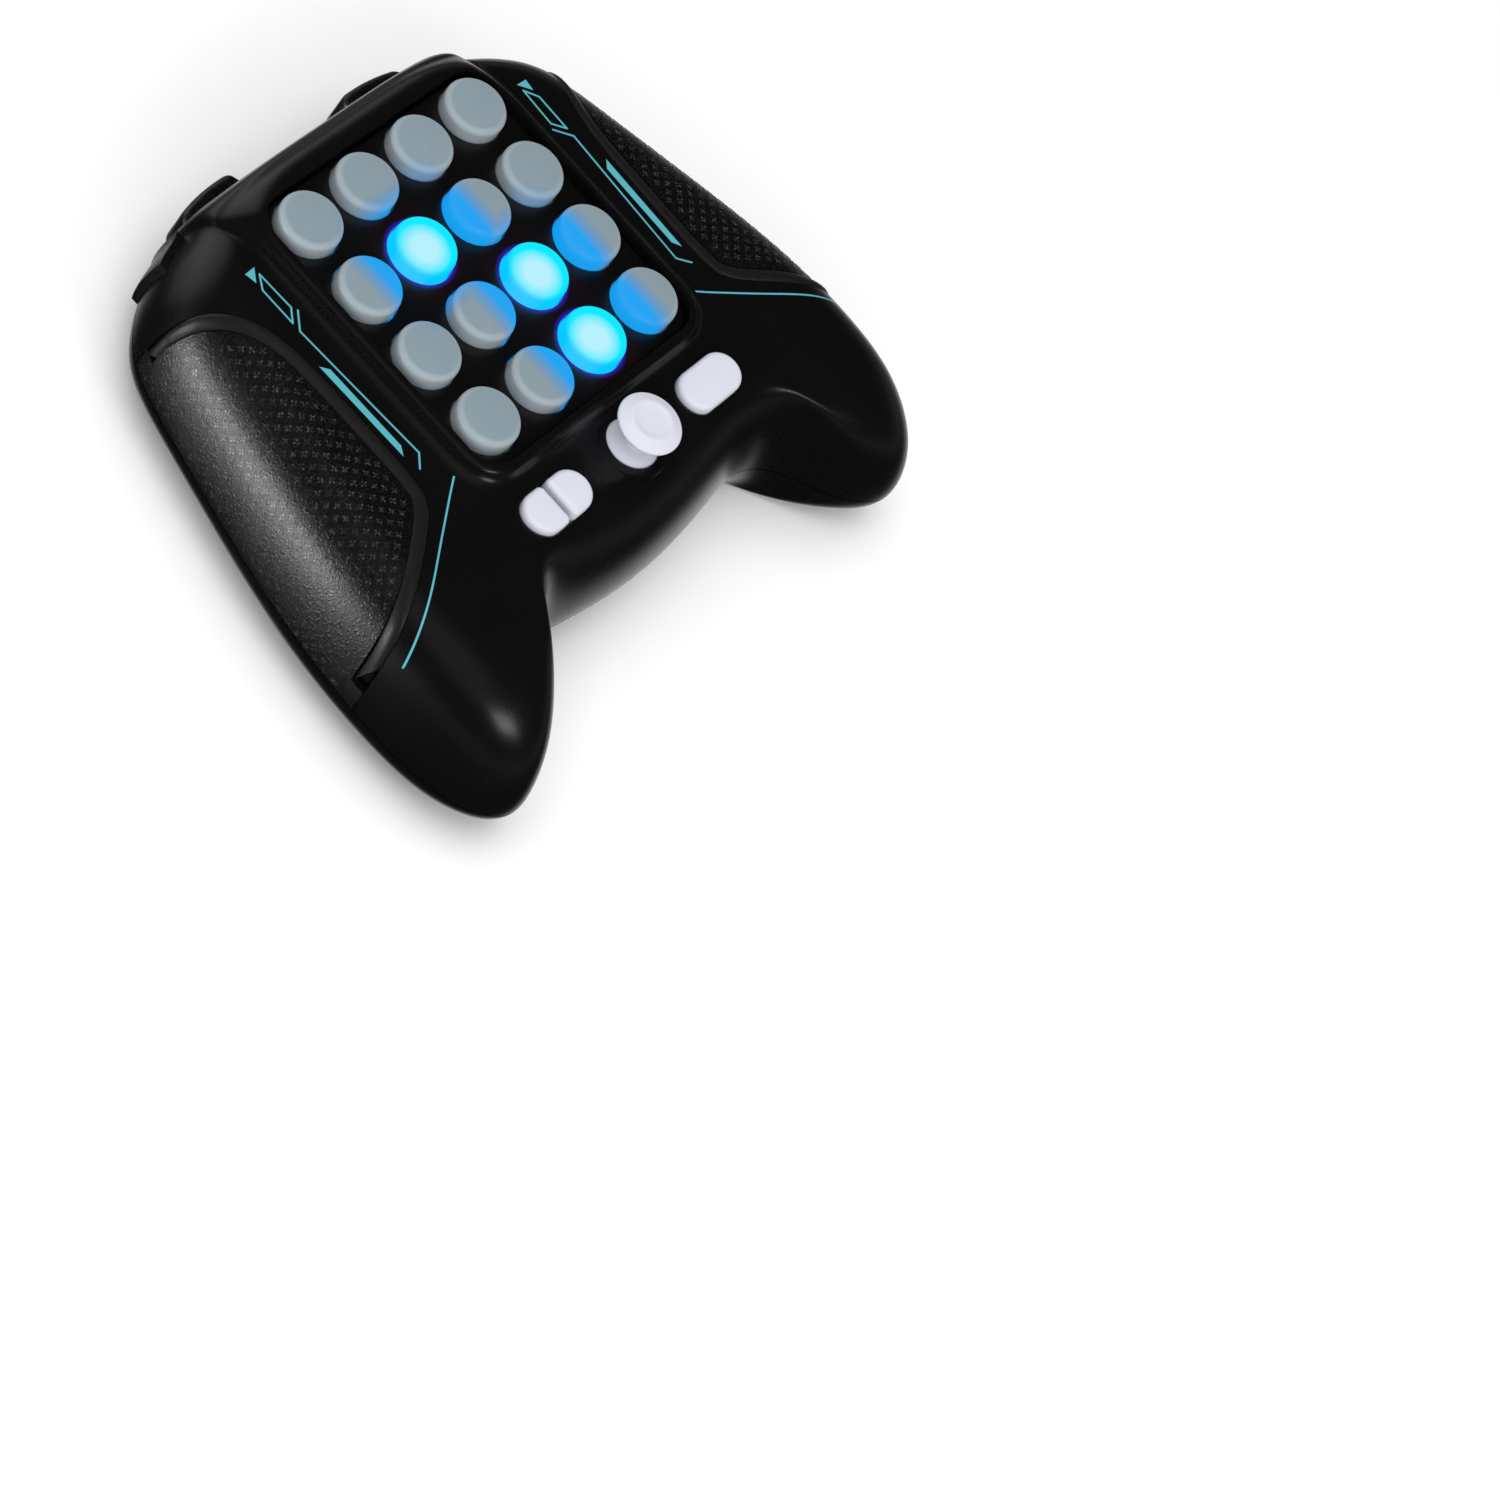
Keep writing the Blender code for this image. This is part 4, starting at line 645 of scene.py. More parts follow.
# the lip is lighter than the grip skin as painted sheen, for the light its slopes catch
lipFinish = texturedGrip("smoothLip", (0.0085, 0.0083, 0.0083), (0.011, 0.0105, 0.0105), 0.36, 0.06)
panelFinish = panelPlastic()
whiteFinish = plainFinish("whiteKeys", (0.6, 0.61, 0.69), (0.63, 0.64, 0.72), 0.36)
steelFinish = plainFinish("platedSteel", (0.52, 0.53, 0.55), (0.6, 0.6, 0.62), 0.24, 1.0)
boardFinish = plainFinish("greenBoard", (0.01, 0.1, 0.045), (0.02, 0.15, 0.07), 0.4, cloudScale=900)
matFinish = plainFinish("greyMat", (0.42, 0.44, 0.45), (0.48, 0.5, 0.51), 0.6)
cellFinish = plainFinish("cellSleeve", (0.05, 0.12, 0.3), (0.06, 0.15, 0.36), 0.28)
darkFinish = plainFinish("darkPlastic", (0.014, 0.014, 0.014), (0.022, 0.022, 0.022), 0.45)
print("finishes made")

# the shells
keys = inMm(row=-38, width=7.6, rise=1.3, edge=0.95, corner=1, startX=20.75, startLength=13.9, halfX=-20.2,
            halfLength=6.8, halfGap=1.1, flange=0.6, flangeHeight=1, flangeDepth=5.6, travel=1)
backKeys = inMm(shoulderX=20.9, shoulderWidth=14.6, shoulderTop=17.2, shoulderHeight=9, shoulderProud=2.3,
                shoulderDepth=6.6, shoulderRound=2, shoulderFall=1.6, shoulderEdge=1.3, triggerX=34.7,
                triggerWidth=7, triggerTop=17.8, triggerHeight=11.6, triggerProud=1.3, triggerDepth=6,
                triggerBack=3, triggerEdge=0.9)
stick = inMm(pivot=24.4, skirt=6.6, wall=0.33, top=12.4, cap=5.75, capHeight=2, neck=1.95, boss=2.2, pin=0.6)
gripPanel = inMm(sink=0.18, thickness=1.2, floor=1.75) | {
    "outline": (
        (0.608, -0.33), (0.608, -0.13), (0.611, 0.02), (0.618, 0.2), (0.64, 0.345), (0.68, 0.48),
        (0.722, 0.58), (0.776, 0.65), (1.063, 0.72), (1.063, -0.62), (0.886, -0.53), (0.708, -0.425),
        (0.64, -0.378),
    ),
}
under = inMm(cellsHalfX=23.8, cellsHalfY=16.8, cellsY=-1, cellsTop=8, doorHalfX=26.8, doorHalfY=19.8,
             doorCorner=1.6, doorThickness=1.8, doorEdge=0.2, doorHole=1.5, ear=4.6, headRadius=2.3,
             headSeat=3.4, grillePitch=3.4, grilleHole=0.9, grilleTop=4, speakerY=-29.2, clear=-1)
under["screws"] = ((0.61, 0.4), (0.75, -0.44))
flangeTop = wingHeight - keys["flangeDepth"]
doorScrewY = under["cellsY"] + under["doorHalfY"]
screwPlaces = [Vector((side, 1)) * planPoint(*shares) for shares in under["screws"] for _, side in sides]


def pillOutline(length, width, ends=(1, 1), out=0.0, steps=16):
    half = length / 2 + out
    outline = []
    for sign, isRound in ((1, ends[1]), (-1, ends[0])):
        radius = (width / 2 if isRound else keys["corner"]) + out
        for part in range(2):
            centre = sign * (half - radius), (part * 2 - 1) * sign * (width / 2 + out - radius)
            start = 90 * (part - 1) + (180 if sign < 0 else 0)
            outline += arcPoints(centre, radius, start, start + 90, steps)
    clean = spaced(outline, 0.02 * mm)
    return clean[:-1] if math.dist(clean[0], clean[-1]) <= 0.02 * mm else clean


def flangeOutline(length, ends=(1, 1), out=0.0):
    return pillOutline(length + keys["flange"], keys["width"] + keys["flange"] * 2, ends, out)


def gripOutline(side, rounds=2):
    # the grip panel's outline in plan, its corners smoothed
    points = [Vector((side, 1)) * planPoint(x, y) for x, y in gripPanel["outline"]]
    for _ in range(rounds):
        smooth = []
        for point, after in loopSides(points):
            if min(abs(point.x), abs(after.x)) > housing["halfWidth"]:
                smooth += [point, after]
            else:
                smooth += [point.lerp(after, 0.25), point.lerp(after, 0.75)]
        points = smooth
    return spaced(points, 0.05 * mm)


def backWindows():
    tools = []
    for _, side in sides:
        for label in ("shoulder", "trigger"):
            top = backKeys[label + "Top"]
            x = side * backKeys[label + "X"]
            half = backKeys[label + "Width"] / 2 + gap
            tools.append(blockTool((x - half, backReach / 2, top - backKeys[label + "Height"] - gap),
                                   (x + half, backReach + housing["beyond"], top + gap)))
    return tools


def halfShell(name, side):
    # the skin above (1) or below (-1) the seam, closed by a flat face there
    shell = copied(outerSkin, name)
    with editing(shell):
        bpy.ops.mesh.bisect(plane_co=(0, 0, seam + side * gap / 2), plane_no=(0, 0, 1), use_fill=True,
                            clear_inner=side > 0, clear_outer=side < 0)
    return shell


def panelOutline(out, corner):
    return roundedOutline(housing["panelHalfX"] + out, housing["panelHalfY"] + out, corner,
                          centreY=housing["panelShift"])


def makeUpperShell():
    shell = halfShell("upperShell", 1)
    cutWith(shell, cavity, keep=True)
    beyond = housing["beyond"]
    ledgeHeight = panelTop - housing["panelThickness"] - gap
    low = ledgeHeight - housing["wall"] - beyond
    corner = housing["panelCorner"]
    cutWith(shell, drawnUp("panelOpening", panelOutline(gap - housing["ledge"], corner), low, panelTop))
    cutWith(shell, drawnUp("panelSeat", panelOutline(gap, corner + gap), ledgeHeight, rimHeight + beyond))
    for row, column, x, y in gridPlaces:
        if row in (0, 3) or column in (0, 3):
            cutWith(shell, roundTool(buttonRadius + buttons["flange"] + gap, low, ledgeHeight + gap, x, y))
    # a low collar round the stick's socket
    collarTop = wingHeight + 0.15 * mm
    section = ((0, -3), (6.5, -3), (6.5, -0.45), (6.36, -0.14), (6.05, 0), (0, 0))
    collar = turnedPiece("stickCollar", [(r * mm, collarTop + z * mm) for r, z in section])
    cutWith(shell, moved(collar, 0, keys["row"]), "UNION")
    bpy.ops.mesh.primitive_uv_sphere_add(segments=64, ring_count=40, radius=stick["skirt"] + gap,
                                         location=(0, keys["row"], stick["pivot"]))
    cutWith(shell, settled())
    halfKeys = keys["halfLength"] * 2 + keys["halfGap"]
    for x, length in ((keys["startX"], keys["startLength"]), (keys["halfX"], halfKeys)):
        shaft = drawnUp("keyShaft", pillOutline(length, keys["width"], out=gap), flangeTop,
                        wingHeight + beyond * 2)
        cutWith(shell, moved(shaft, x, keys["row"]))
        pocket = drawnUp("keyPocket", flangeOutline(length, out=gap),
                         flangeTop - keys["flangeHeight"] - keys["travel"] - gap, flangeTop + gap)
        cutWith(shell, moved(pocket, x, keys["row"]))
    for tool in backWindows():
        cutWith(shell, tool)
    for _, side in sides:
        recess = drawnUp("gripRecess", gripOutline(side), 0, panelTop + beyond)
        cutWith(shell, cutWith(recess, floorSkin, keep=True))
    return welded(shell)


def doorOutline(out=0.0):
    return roundedOutline(under["doorHalfX"] + out, under["doorHalfY"] + out, under["doorCorner"],
                          centreY=under["cellsY"])


def makeLowerShell():
    shell = halfShell("lowerShell", -1)
    cutWith(shell, blockTool((-0.1, -0.1, -0.01), (0.1, 0.1, 0)))
    cutWith(shell, cavity, keep=True)
    clear, halfX, halfY, middle = [under[key] for key in ("clear", "cellsHalfX", "cellsHalfY", "cellsY")]
    cutWith(shell, blockTool((-halfX, middle - halfY, clear), (halfX, middle + halfY, under["cellsTop"])))
    cutWith(shell, drawnUp("doorSeat", doorOutline(gap), clear, under["doorThickness"] + gap))
    cutWith(shell, roundTool(under["ear"] + gap, clear, under["doorThickness"] + gap, 0, doorScrewY))
    for x, y in screwPlaces:
        cutWith(shell, roundTool(under["headRadius"] + gap, clear, under["headSeat"], x, y))
    grille = arcPoints((0, under["speakerY"]), under["grillePitch"], 0, 300, 5)
    for x, y in [(0.0, under["speakerY"])] + grille:
        cutWith(shell, roundTool(under["grilleHole"], clear, under["grilleTop"], x, y, 32))
    for tool in backWindows():
        cutWith(shell, tool)
    return shell


outerSkin = housingSkin("outerSkin", 0.0, plateau=True)
floorSkin = housingSkin("floorSkin", gripPanel["floor"], levels=2)
cavity = housingSkin("cavity", housing["wall"], levels=0)
upperShell = makeUpperShell()
lowerShell = makeLowerShell()
print("shells made")

# the grip panels, and a smooth lip along each recess
lip = inMm(width=2.5, step=0.3, gap=0.06, foot=13.4, taper=5, sink=0.5, seamMargin=0.2, seamOverlap=0.05) | {
    # how far inwards from the recess's edge, and how far above the skin, in millimetres
    "section": ((0.0, -1.2), (0.0, -0.04), (0.14, 0.12), (0.4, 0.25), (0.75, 0.3), (1.15, 0.26), (1.6, 0.13),
                (2.05, -0.06), (2.32, -0.2), (2.45, -0.32), (2.5, -1.2)),
}
lipBottom = seam - lip["seamOverlap"]
gripSkin = housingSkin("gripSkin", gripPanel["sink"])
gripUnder = housingSkin("gripUnder", gripPanel["sink"] + gripPanel["thickness"], levels=2)


def gripPart(inset, low, high):
    part = drawnUp("leftGripPanel", movedIn(gripOutline(-1), inset), low, high)
    cutWith(part, gripSkin, "INTERSECT", keep=True)
    return cutWith(part, gripUnder, keep=True)


# below the lip's ends the panel reaches the recess's edge
gripPiece = joined("leftGripPanel", [gripPart(lip["width"] + lip["gap"], lip["foot"], panelTop),
                                     gripPart(lip["gap"], lipBottom, lip["foot"])])
gripTwin = mirrored(gripPiece, "rightGripPanel")
keptPiece(gripPiece, gripFinish, ["left_grip_panel"])
keptPiece(gripTwin, gripFinish, ["right_grip_panel"])
print("grip panels made")


def surfaceTree(piece):
    piece.data.calc_loop_triangles()
    return BVHTree.FromPolygons([v.co for v in piece.data.vertices],
                                [tuple(t.vertices) for t in piece.data.loop_triangles])


outerTree = surfaceTree(outerSkin)
gripTree = surfaceTree(gripSkin)


def lipPath(side):
    # the recess's edge from the grip's front end round its inner side to its back end
    loop = gripOutline(side)
    beyond = [abs(p.x) > housing["halfWidth"] + 1 * mm for p in loop]
    first = next(k for k in range(len(loop)) if beyond[k - 1] and not beyond[k]) - 1
    loop, beyond = loop[first:] + loop[:first], beyond[first:] + beyond[:first]
    last = beyond.index(True, 1)
    path = []
    for start, end in zip(loop[:last], loop[1:last + 1]):
        steps = max(1, round((end - start).length / lip["step"]))
        path += [start.lerp(end, step / steps) for step in range(steps)]
    return path + [loop[last]]


def makeLip(label, side):
    path = lipPath(side)
    middle = Vector((side, 1)) * planPoint(0.85, -0.02)
    rows = []
    for before, place, after in zip(path, path[1:], path[2:]):
        along = (after - before).normalized()
        into = Vector((along.y, -along.x))
        if into.dot(middle - place) < 0:
            into = -into
        row = []
        for across, height in lip["section"]:
            start = place + into * (across * mm + lip["gap"])
            hit, normal, *_ = outerTree.ray_cast(Vector((*start, 0.1)), Vector((0, 0, -1)))
            if hit and hit.z >= seam + lip["seamMargin"]:
                row.append((hit, normal, height * mm))
        if len(row) == len(lip["section"]):
            rows.append(row)
    points = []
    for k, row in enumerate(rows):
        # each end sinks away into the skin
        fade = min(1, min(k, len(rows) - 1 - k) * lip["step"] / lip["taper"])
        drop = lip["sink"] * (1 - fade * fade * (3 - 2 * fade))
        for hit, normal, height in row:
            point = hit + normal * (height - drop)
            point.z = max(point.z, lipBottom)
            points.append(point)
    piece = meshPiece(label + "GripLip", points, ringFaces(len(rows), len(lip["section"])))
    with editing(piece):
        turnOutward()
    keptPiece(piece, lipFinish, angle=60)


crosses = inMm(pitch=2.9, rowPitch=1.2, arm=0.64, halfWidth=0.17, topHalfWidth=0.145, height=0.05, sunk=0.04,
               margin=3.2, axisInset=15, axisHeight=12, seamMargin=0.7)
crosses |= {"top": 120, "bottom": -20, "turn": 0.35, "topShare": 0.95}


def insideLoop(point, loop):
    crossings = 0
    for start, end in loopSides(loop):
        if (start.y > point.y) != (end.y > point.y):
            if point.x < start.x + (end.x - start.x) * (point.y - start.y) / (end.y - start.y):
                crossings += 1
    return crossings % 2 == 1


def crossRow(side, y, shift):
    # places along the skin's section at y, one pitch apart
    reach = gripTree.ray_cast(Vector((side * 0.1, y, seam)), Vector((-side, 0, 0)))[0]
    if reach is None:
        return []
    axis = Vector((reach.x - side * crosses["axisInset"], y, crosses["axisHeight"]))
    places = []
    travelled = -shift
    last = None
    angle = crosses["top"]
    while angle > crosses["bottom"]:
        turn = math.radians(angle)
        ray = Vector((side * math.cos(turn), 0, math.sin(turn)))
        hit, normal, *_ = gripTree.ray_cast(axis, ray)
        if hit and last:
            travelled += (hit - last).length
            if travelled >= crosses["pitch"]:
                travelled -= crosses["pitch"]
                places.append((hit, normal if normal.dot(ray) > 0 else -normal))
        last = hit or last
        angle -= crosses["turn"]
    return places


def addCross(points, faces, place, normal):
    # two low bars with flat tops, one across the other
    low = -crosses["sunk"], crosses["arm"], crosses["halfWidth"]
    high = crosses["height"], crosses["arm"] * crosses["topShare"], crosses["topHalfWidth"]
    tangent = Vector((0, 1, 0)).cross(normal).normalized()
    for along in (tangent, normal.cross(tangent)):
        wide = normal.cross(along)
        first = len(points)
        for height, arm, half in (low, high):
            for end, hand in ((-1, -1), (1, -1), (1, 1), (-1, 1)):
                points.append(place + normal * height + along * arm * end + wide * half * hand)
        a, b, c, d, e, f, g, h = range(first, first + 8)
        faces += [(d, c, b, a), (e, f, g, h), (a, b, f, e), (b, c, g, f), (c, d, h, g), (d, a, e, h)]


def makeCrosses(label, side):
    loop = movedIn(gripOutline(side), crosses["margin"])
    points, faces = [], []
    y = min(p.y for p in loop)
    row = 0
    while y < max(p.y for p in loop):
        for place, normal in crossRow(side, y, crosses["pitch"] / 2 * (row % 2)):
            if place.z > seam + crosses["seamMargin"] and insideLoop(place, loop):
                addCross(points, faces, place, normal)
        y += crosses["rowPitch"]
        row += 1
    keptPiece(meshPiece(label + "GripCrosses", points, faces), crossGlintFinish, angle=20)


for label, side in sides:
    makeLip(label, side)
    makeCrosses(label, side)
print("grip lips and crosses made")

keptPiece(upperShell, upperFinish, ["upper_shell"])
keptPiece(lowerShell, lowerFinish, ["lower_shell"])


# keys, thumbstick, shoulder buttons and triggers
def makeKey(name, label, length, ends, x):
    shaft = drawnUp(name, pillOutline(length, keys["width"], ends), flangeTop - keys["flangeHeight"] / 2,
                    wingHeight + keys["rise"], keys["edge"], 6)
    flange = drawnUp(name + "Flange", flangeOutline(length, ends), flangeTop - keys["flangeHeight"], flangeTop)
    piece = moved(joined(name, [shaft, flange]), x, keys["row"])
    keptPiece(piece, whiteFinish, [label], label)


halfStep = (keys["halfLength"] + keys["halfGap"]) / 2
makeKey("startKey", "start_key", keys["startLength"], (1, 1), keys["startX"])
makeKey("outerHalfKey", "left_key_outer", keys["halfLength"], (1, 0), keys["halfX"] - halfStep)
makeKey("innerHalfKey", "left_key_inner", keys["halfLength"], (0, 1), keys["halfX"] + halfStep)


def makeStick():
    # heights from the pivot: skirt, neck, and a cap crowned towards a shallow dish
    skirt, top, cap, neck = [stick[key] for key in ("skirt", "top", "cap", "neck")]
    profile = [(0, skirt - stick["wall"])] + arcPoints((0, 0), skirt - stick["wall"], 84, 31, 16)
    profile += arcPoints((0, 0), skirt, 29.5, 70, 18)
    footRadius, foot = profile[-1]
    capUnder = top - stick["capHeight"]
    profile += [(neck + (footRadius - neck) * 0.3, foot + 0.22 * mm), (neck, foot + 0.7 * mm)]
    profile += [(neck + out * mm, capUnder - down * mm) for out, down in ((0, 1.1), (0.25, 0.55), (0.9, 0.15))]
    profile += arcPoints((cap - 0.7 * mm, capUnder + 0.65 * mm), 0.65 * mm, -90, 0, 8)
    profile += arcPoints((cap - 0.55 * mm, top - 1.3 * mm), 0.53 * mm, 0, 66, 8)
    dish = ((5.0, 0.62), (4.5, 0.38), (4.0, 0.14), (3.75, 0.04), (3.5, 0), (3.25, 0.04), (2.9, 0.14), (2.2, 0.23),
            (1.2, 0.27), (0, 0.28))
    profile += [(radius * mm, top - down * mm) for radius, down in dish]
    boss = roundTool(stick["boss"], -1.9 * mm, 6.2 * mm, 0, 0)
    pins = turned(roundTool(stick["pin"], -4.1 * mm, 4.1 * mm, 0, 0, 24), 90, "X")
    piece = joined("thumbstickBody", [turnedPiece("thumbstickBody", profile), boss, pins])
    moved(piece, 0, keys["row"], stick["pivot"])
    keptPiece(piece, whiteFinish, ["thumbstick"], "thumbstick", 50)


makeStick()


def shoulderOutline(side, steps=24):
    # seen from above: flat at the back of the button and bowed outside, falling away at its outer end
    half = backKeys["shoulderWidth"] / 2
    outer = backReach + backKeys["shoulderProud"]
    inner = outer - backKeys["shoulderDepth"]
    corner = backKeys["shoulderRound"]
    points = [(half, inner), (-half, inner)]
    for step in range(steps + 1):
        x = -half + 2 * half * step / steps
        across = side * x / half + 0.5
        fall = backKeys["shoulderFall"] * (max(0, across) / 1.5) ** 2
        nearEnd = max(0, min(corner, half - abs(x)))
        points.append((x, outer - fall - corner + math.sqrt(corner ** 2 - (corner - nearEnd) ** 2)))
    return points


for label, side in sides:
    top = backKeys["shoulderTop"]
    piece = drawnUp(label + "ShoulderButton", shoulderOutline(side), top - backKeys["shoulderHeight"], top)
    with editing(piece):
        # only the upper and the lower edge are rounded
        bpy.ops.mesh.select_mode(type="EDGE")
        bpy.ops.mesh.select_all(action="DESELECT")
        for edge in bmesh.from_edit_mesh(piece.data).edges:
            if abs(edge.verts[0].co.z - edge.verts[1].co.z) < 0.01 * mm:
                edge.select_set(True)
        bpy.ops.mesh.bevel(offset=backKeys["shoulderEdge"], segments=6, profile=0.5, affect="EDGES")
    node = label + "_shoulder_button"
    keptPiece(moved(piece, side * backKeys["shoulderX"]), gripFinish, [node], node)

proudSkin = housingSkin("proudSkin", -backKeys["triggerProud"], levels=2)
for label, side in sides:
    top = backKeys["triggerTop"]
    low, high = [side * backKeys["triggerX"] + hand * backKeys["triggerWidth"] / 2 for hand in (-1, 1)]
    start = backReach * housing["rays"][5][3] - backKeys["triggerDepth"]
    back = backReach + backKeys["triggerBack"]
    piece = drawnUp(label + "Trigger", [(low, start), (high, start), (high, back), (low, back)],
                    top - backKeys["triggerHeight"], top)
    cutWith(piece, proudSkin, "INTERSECT", keep=True)
    node = label + "_trigger"
    keptPiece(softened(piece, backKeys["triggerEdge"], 5), gripFinish, [node], node)
for tool in (proudSkin, outerSkin, floorSkin, cavity, gripSkin, gripUnder):
    bpy.data.objects.remove(tool)
print("keys, stick and back controls made")


# button panel and buttons
def makePanel():
    low = panelTop - housing["panelThickness"]
    piece = drawnUp("buttonPanel", panelOutline(0, housing["panelCorner"]), low, panelTop, housing["panelEdge"], 3)
    for *_, x, y in gridPlaces:
        cutWith(piece, roundTool(buttonRadius + gap, low - 1 * mm, panelTop + 1 * mm, x, y, 64))
    keptPiece(piece, panelFinish, ["button_panel"])


def makeButtons():
    radius, rise, edge = buttonRadius, buttons["rise"], buttons["edge"]
    wide = radius + buttons["flange"]
    profile = [(0, buttons["flangeLow"]), (wide, buttons["flangeLow"]), (wide, buttons["flangeTop"]),
               (radius, buttons["flangeTop"]), (radius, rise - edge)]
    profile += arcPoints((radius - edge, rise - edge), edge, 10, 90, 8)
    profile += [(radius * 0.5, rise + buttons["halfCrown"]), (0, rise + buttons["crown"])]
    model = turnedPiece("buttonModel", profile)
    for row, column, x, y in gridPlaces:
        label = f"R{row + 1}C{column + 1}"
        node = "light_button_" + label.lower()
        piece = moved(copied(model, "lightButton" + label), x, y, panelTop)
        keptPiece(piece, frosted("frosted" + label, row, column), [node], node)
    bpy.data.objects.remove(model)


makePanel()
makeButtons()
print("panel and buttons made")


# battery door and screws
def makeDoor():
    thick = under["doorThickness"]
    piece = drawnUp("batteryDoor", doorOutline(), 0, thick)
    cutWith(piece, roundTool(under["ear"], 0, thick, 0, doorScrewY), "UNION")
    cutWith(piece, roundTool(under["doorHole"], under["clear"], thick - under["clear"], 0, doorScrewY))
    cutWith(piece, roundTool(under["headRadius"] + gap, under["clear"], thick / 2, 0, doorScrewY))
    keptPiece(softened(piece, under["doorEdge"], 2), lowerFinish, ["battery_door"])


screw = inMm(round=0.5, shank=1.2, slotHalfLength=1.5, slotHalfWidth=0.3, slotDepth=0.55)


def makeScrew(name, label, x, y, seat, headHeight, length):
    # the head faces down, with a cross slot
    radius, edge, shank = under["headRadius"], screw["round"], screw["shank"]
    halfLength, halfWidth = screw["slotHalfLength"], screw["slotHalfWidth"]
    head = seat - headHeight
    slotTop = head + screw["slotDepth"]
    profile = [(0, head)] + arcPoints((radius - edge, head + edge), edge, -90, 0, 6)
    profile += [(radius, seat), (shank, seat), (shank, seat + length - shank), (0, seat + length)]
    piece = turnedPiece(name, profile, 48)
    for turn in (0, 90):
        slot = blockTool((-halfLength, -halfWidth, head - edge), (halfLength, halfWidth, slotTop))
        cutWith(piece, turned(slot, turn, "Z"))
    keptPiece(moved(piece, x, y), steelFinish, [label])


makeDoor()
for index, (x, y) in enumerate(screwPlaces, 1):
    makeScrew(f"housingScrew{index}", f"housing_screw_{index}", x, y, 3.1 * mm, 1.4 * mm, 15.7 * mm)
makeScrew("doorScrew", "battery_door_screw", 0, doorScrewY, 0.6 * mm, 0.5 * mm, 6.7 * mm)
print("door and screws made")

# finishes of the pieces that stay as they are
finishBySlot = {"housing": lowerFinish, "panel": panelFinish, "grip": gripFinish, "white_key": whiteFinish,
                "steel": steelFinish, "board": boardFinish, "mat": matFinish, "cell": cellFinish,
                "dark_plastic": darkFinish, "button": whiteFinish}
slotOfNode = {each["node"]: each["material_slot"] for each in frame["record"]["subparts"]}
for name, node in frame["nodes"].items():
    node.data.materials.clear()
    node.data.materials.append(finishBySlot[slotOfNode[name]])

# floor, lights and camera
studio = {
    "floorSize": 6, "floorHeight": -0.2 * mm, "target": (0, 0, 0.02),
    # direction from the part, distance, width, height, power, seen in reflections
    "lamps": (
        ("frontLight", (-0.25, -0.72, 0.65), 1.1, 0.34, 0.24, 1.3, True),
        ("topLight", (-0.1, 0.15, 1.0), 1.3, 1.4, 1.4, 11.2, False),
        ("fillLight", (-0.8, -0.45, 0.4), 1.2, 0.8, 0.8, 5.0, False),
    ),
    # what the part mirrors: patches by direction, radius inside and outside in degrees, and brightness
    "patches": (
        ((-0.858, 0.495, -0.15), 4, 17, 8.6), ((-0.3, -0.1, 0.92), 6, 34, 0.2),
        ((0.2, 0.95, 0.1), 10, 40, 0.6),
        # the white ground behind the part, which shines only along its outline
        ((0.63, 0.02, -0.78), 8, 46, 0.85),
    ),
    "horizon": 0.16, "horizonWidth": 0.3, "sky": 0.012, "soft": 0.56,
}
view = {
    "focal": 4821.508, "pixels": 1500, "sensor": 36,
    "place": Vector((-504.05, -101.04 + 15.95, 590.71 + 30.0)) * mm,
    "across": Vector((0.58368503, -0.670487082, 0.457994388)),
    "down": Vector((-0.512828577, -0.741716166, -0.432277665)),
    "ahead": Vector((0.629538432, 0.017441392, -0.776773558)),
}


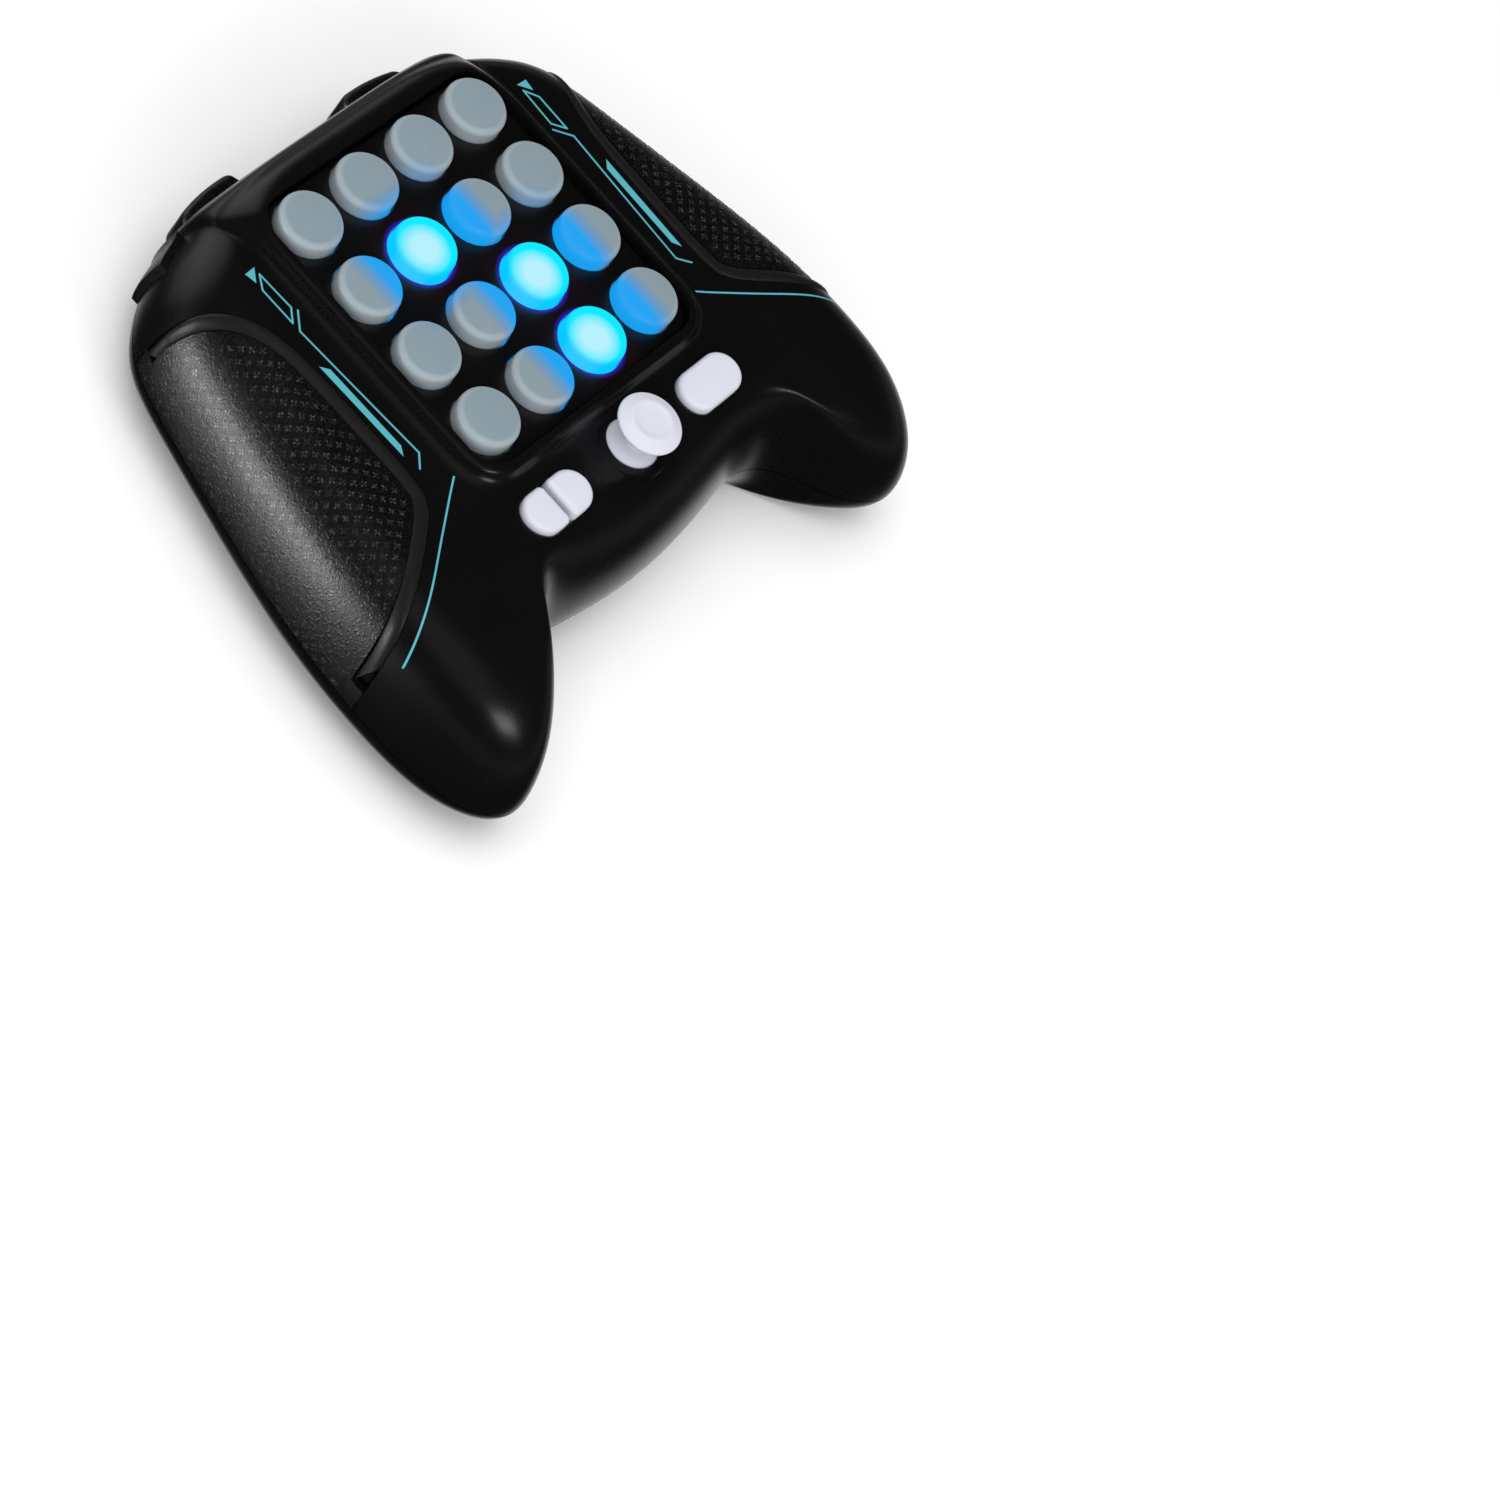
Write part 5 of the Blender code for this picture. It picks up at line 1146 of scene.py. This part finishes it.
def makeWorld():
    # white to the camera, evenly soft for diffuse light, and dark in reflections but for the horizon and patches
    world = bpy.data.worlds.new("studioWorld")
    bpy.context.scene.world = world
    nodes = Nodes(world)
    *_, height = nodes.axes("Generated")
    level = nodes.most(1 - abs(height) / studio["horizonWidth"], 0)
    shine = level * level * studio["horizon"] + studio["sky"]
    for direction, inner, outer, brightness in studio["patches"]:
        near = nodes.node("VectorMath", {0: nodes.coordinates("Generated"), 1: Vector(direction).normalized()},
                          "Value", operation="DOT_PRODUCT")
        low, high = [math.cos(math.radians(angle)) for angle in (outer, inner)]
        shine = shine + nodes.ramp(near, low, high, 0, brightness, "SMOOTHSTEP")
    rays = [f"Is {kind} Ray" for kind in ("Diffuse", "Glossy", "Camera")]
    diffuse, glossy, camera = [nodes.node("LightPath", output=ray) for ray in rays]
    strength = diffuse * studio["soft"] + glossy * shine + camera
    background = nodes.node("Background", {"Color": (1, 1, 1, 1), "Strength": strength})
    nodes.node("OutputWorld", {"Surface": background})


def makeStudio():
    bpy.ops.mesh.primitive_plane_add(size=studio["floorSize"], location=(0, 0, studio["floorHeight"]))
    floor = bpy.context.object
    floor.name = "studioFloor"
    finish = Finish("paleFloor", Roughness=0.7)
    floor.data.materials.append(
        finish.feed(Base_Color=finish.blend(finish.noise(30, 2), (0.94, 0.94, 0.95), (0.96, 0.96, 0.97))))
    floor.visible_glossy = False
    makeWorld()
    target = Vector(studio["target"])
    for name, direction, distance, width, height, power, seen in studio["lamps"]:
        data = bpy.data.lights.new(name, "AREA")
        data.shape = "RECTANGLE"
        data.size = width
        data.size_y = height
        data.energy = power
        lamp = linked(name, data)
        lamp.location = target + Vector(direction).normalized() * distance
        lamp.rotation_euler = (target - lamp.location).to_track_quat("-Z", "Y").to_euler()
        lamp.visible_glossy = seen


def makeCamera():
    data = bpy.data.cameras.new("camera")
    data.sensor_width = view["sensor"]
    data.lens = view["focal"] * view["sensor"] / view["pixels"]
    camera = linked("camera", data)
    turn = Matrix((view["across"], -view["down"], -view["ahead"])).transposed().to_4x4()
    camera.matrix_world = Matrix.Translation(view["place"]) @ turn
    bpy.context.scene.camera = camera


makeStudio()
makeCamera()
bpy.context.scene.view_settings.view_transform = "Standard"
print("studio made")
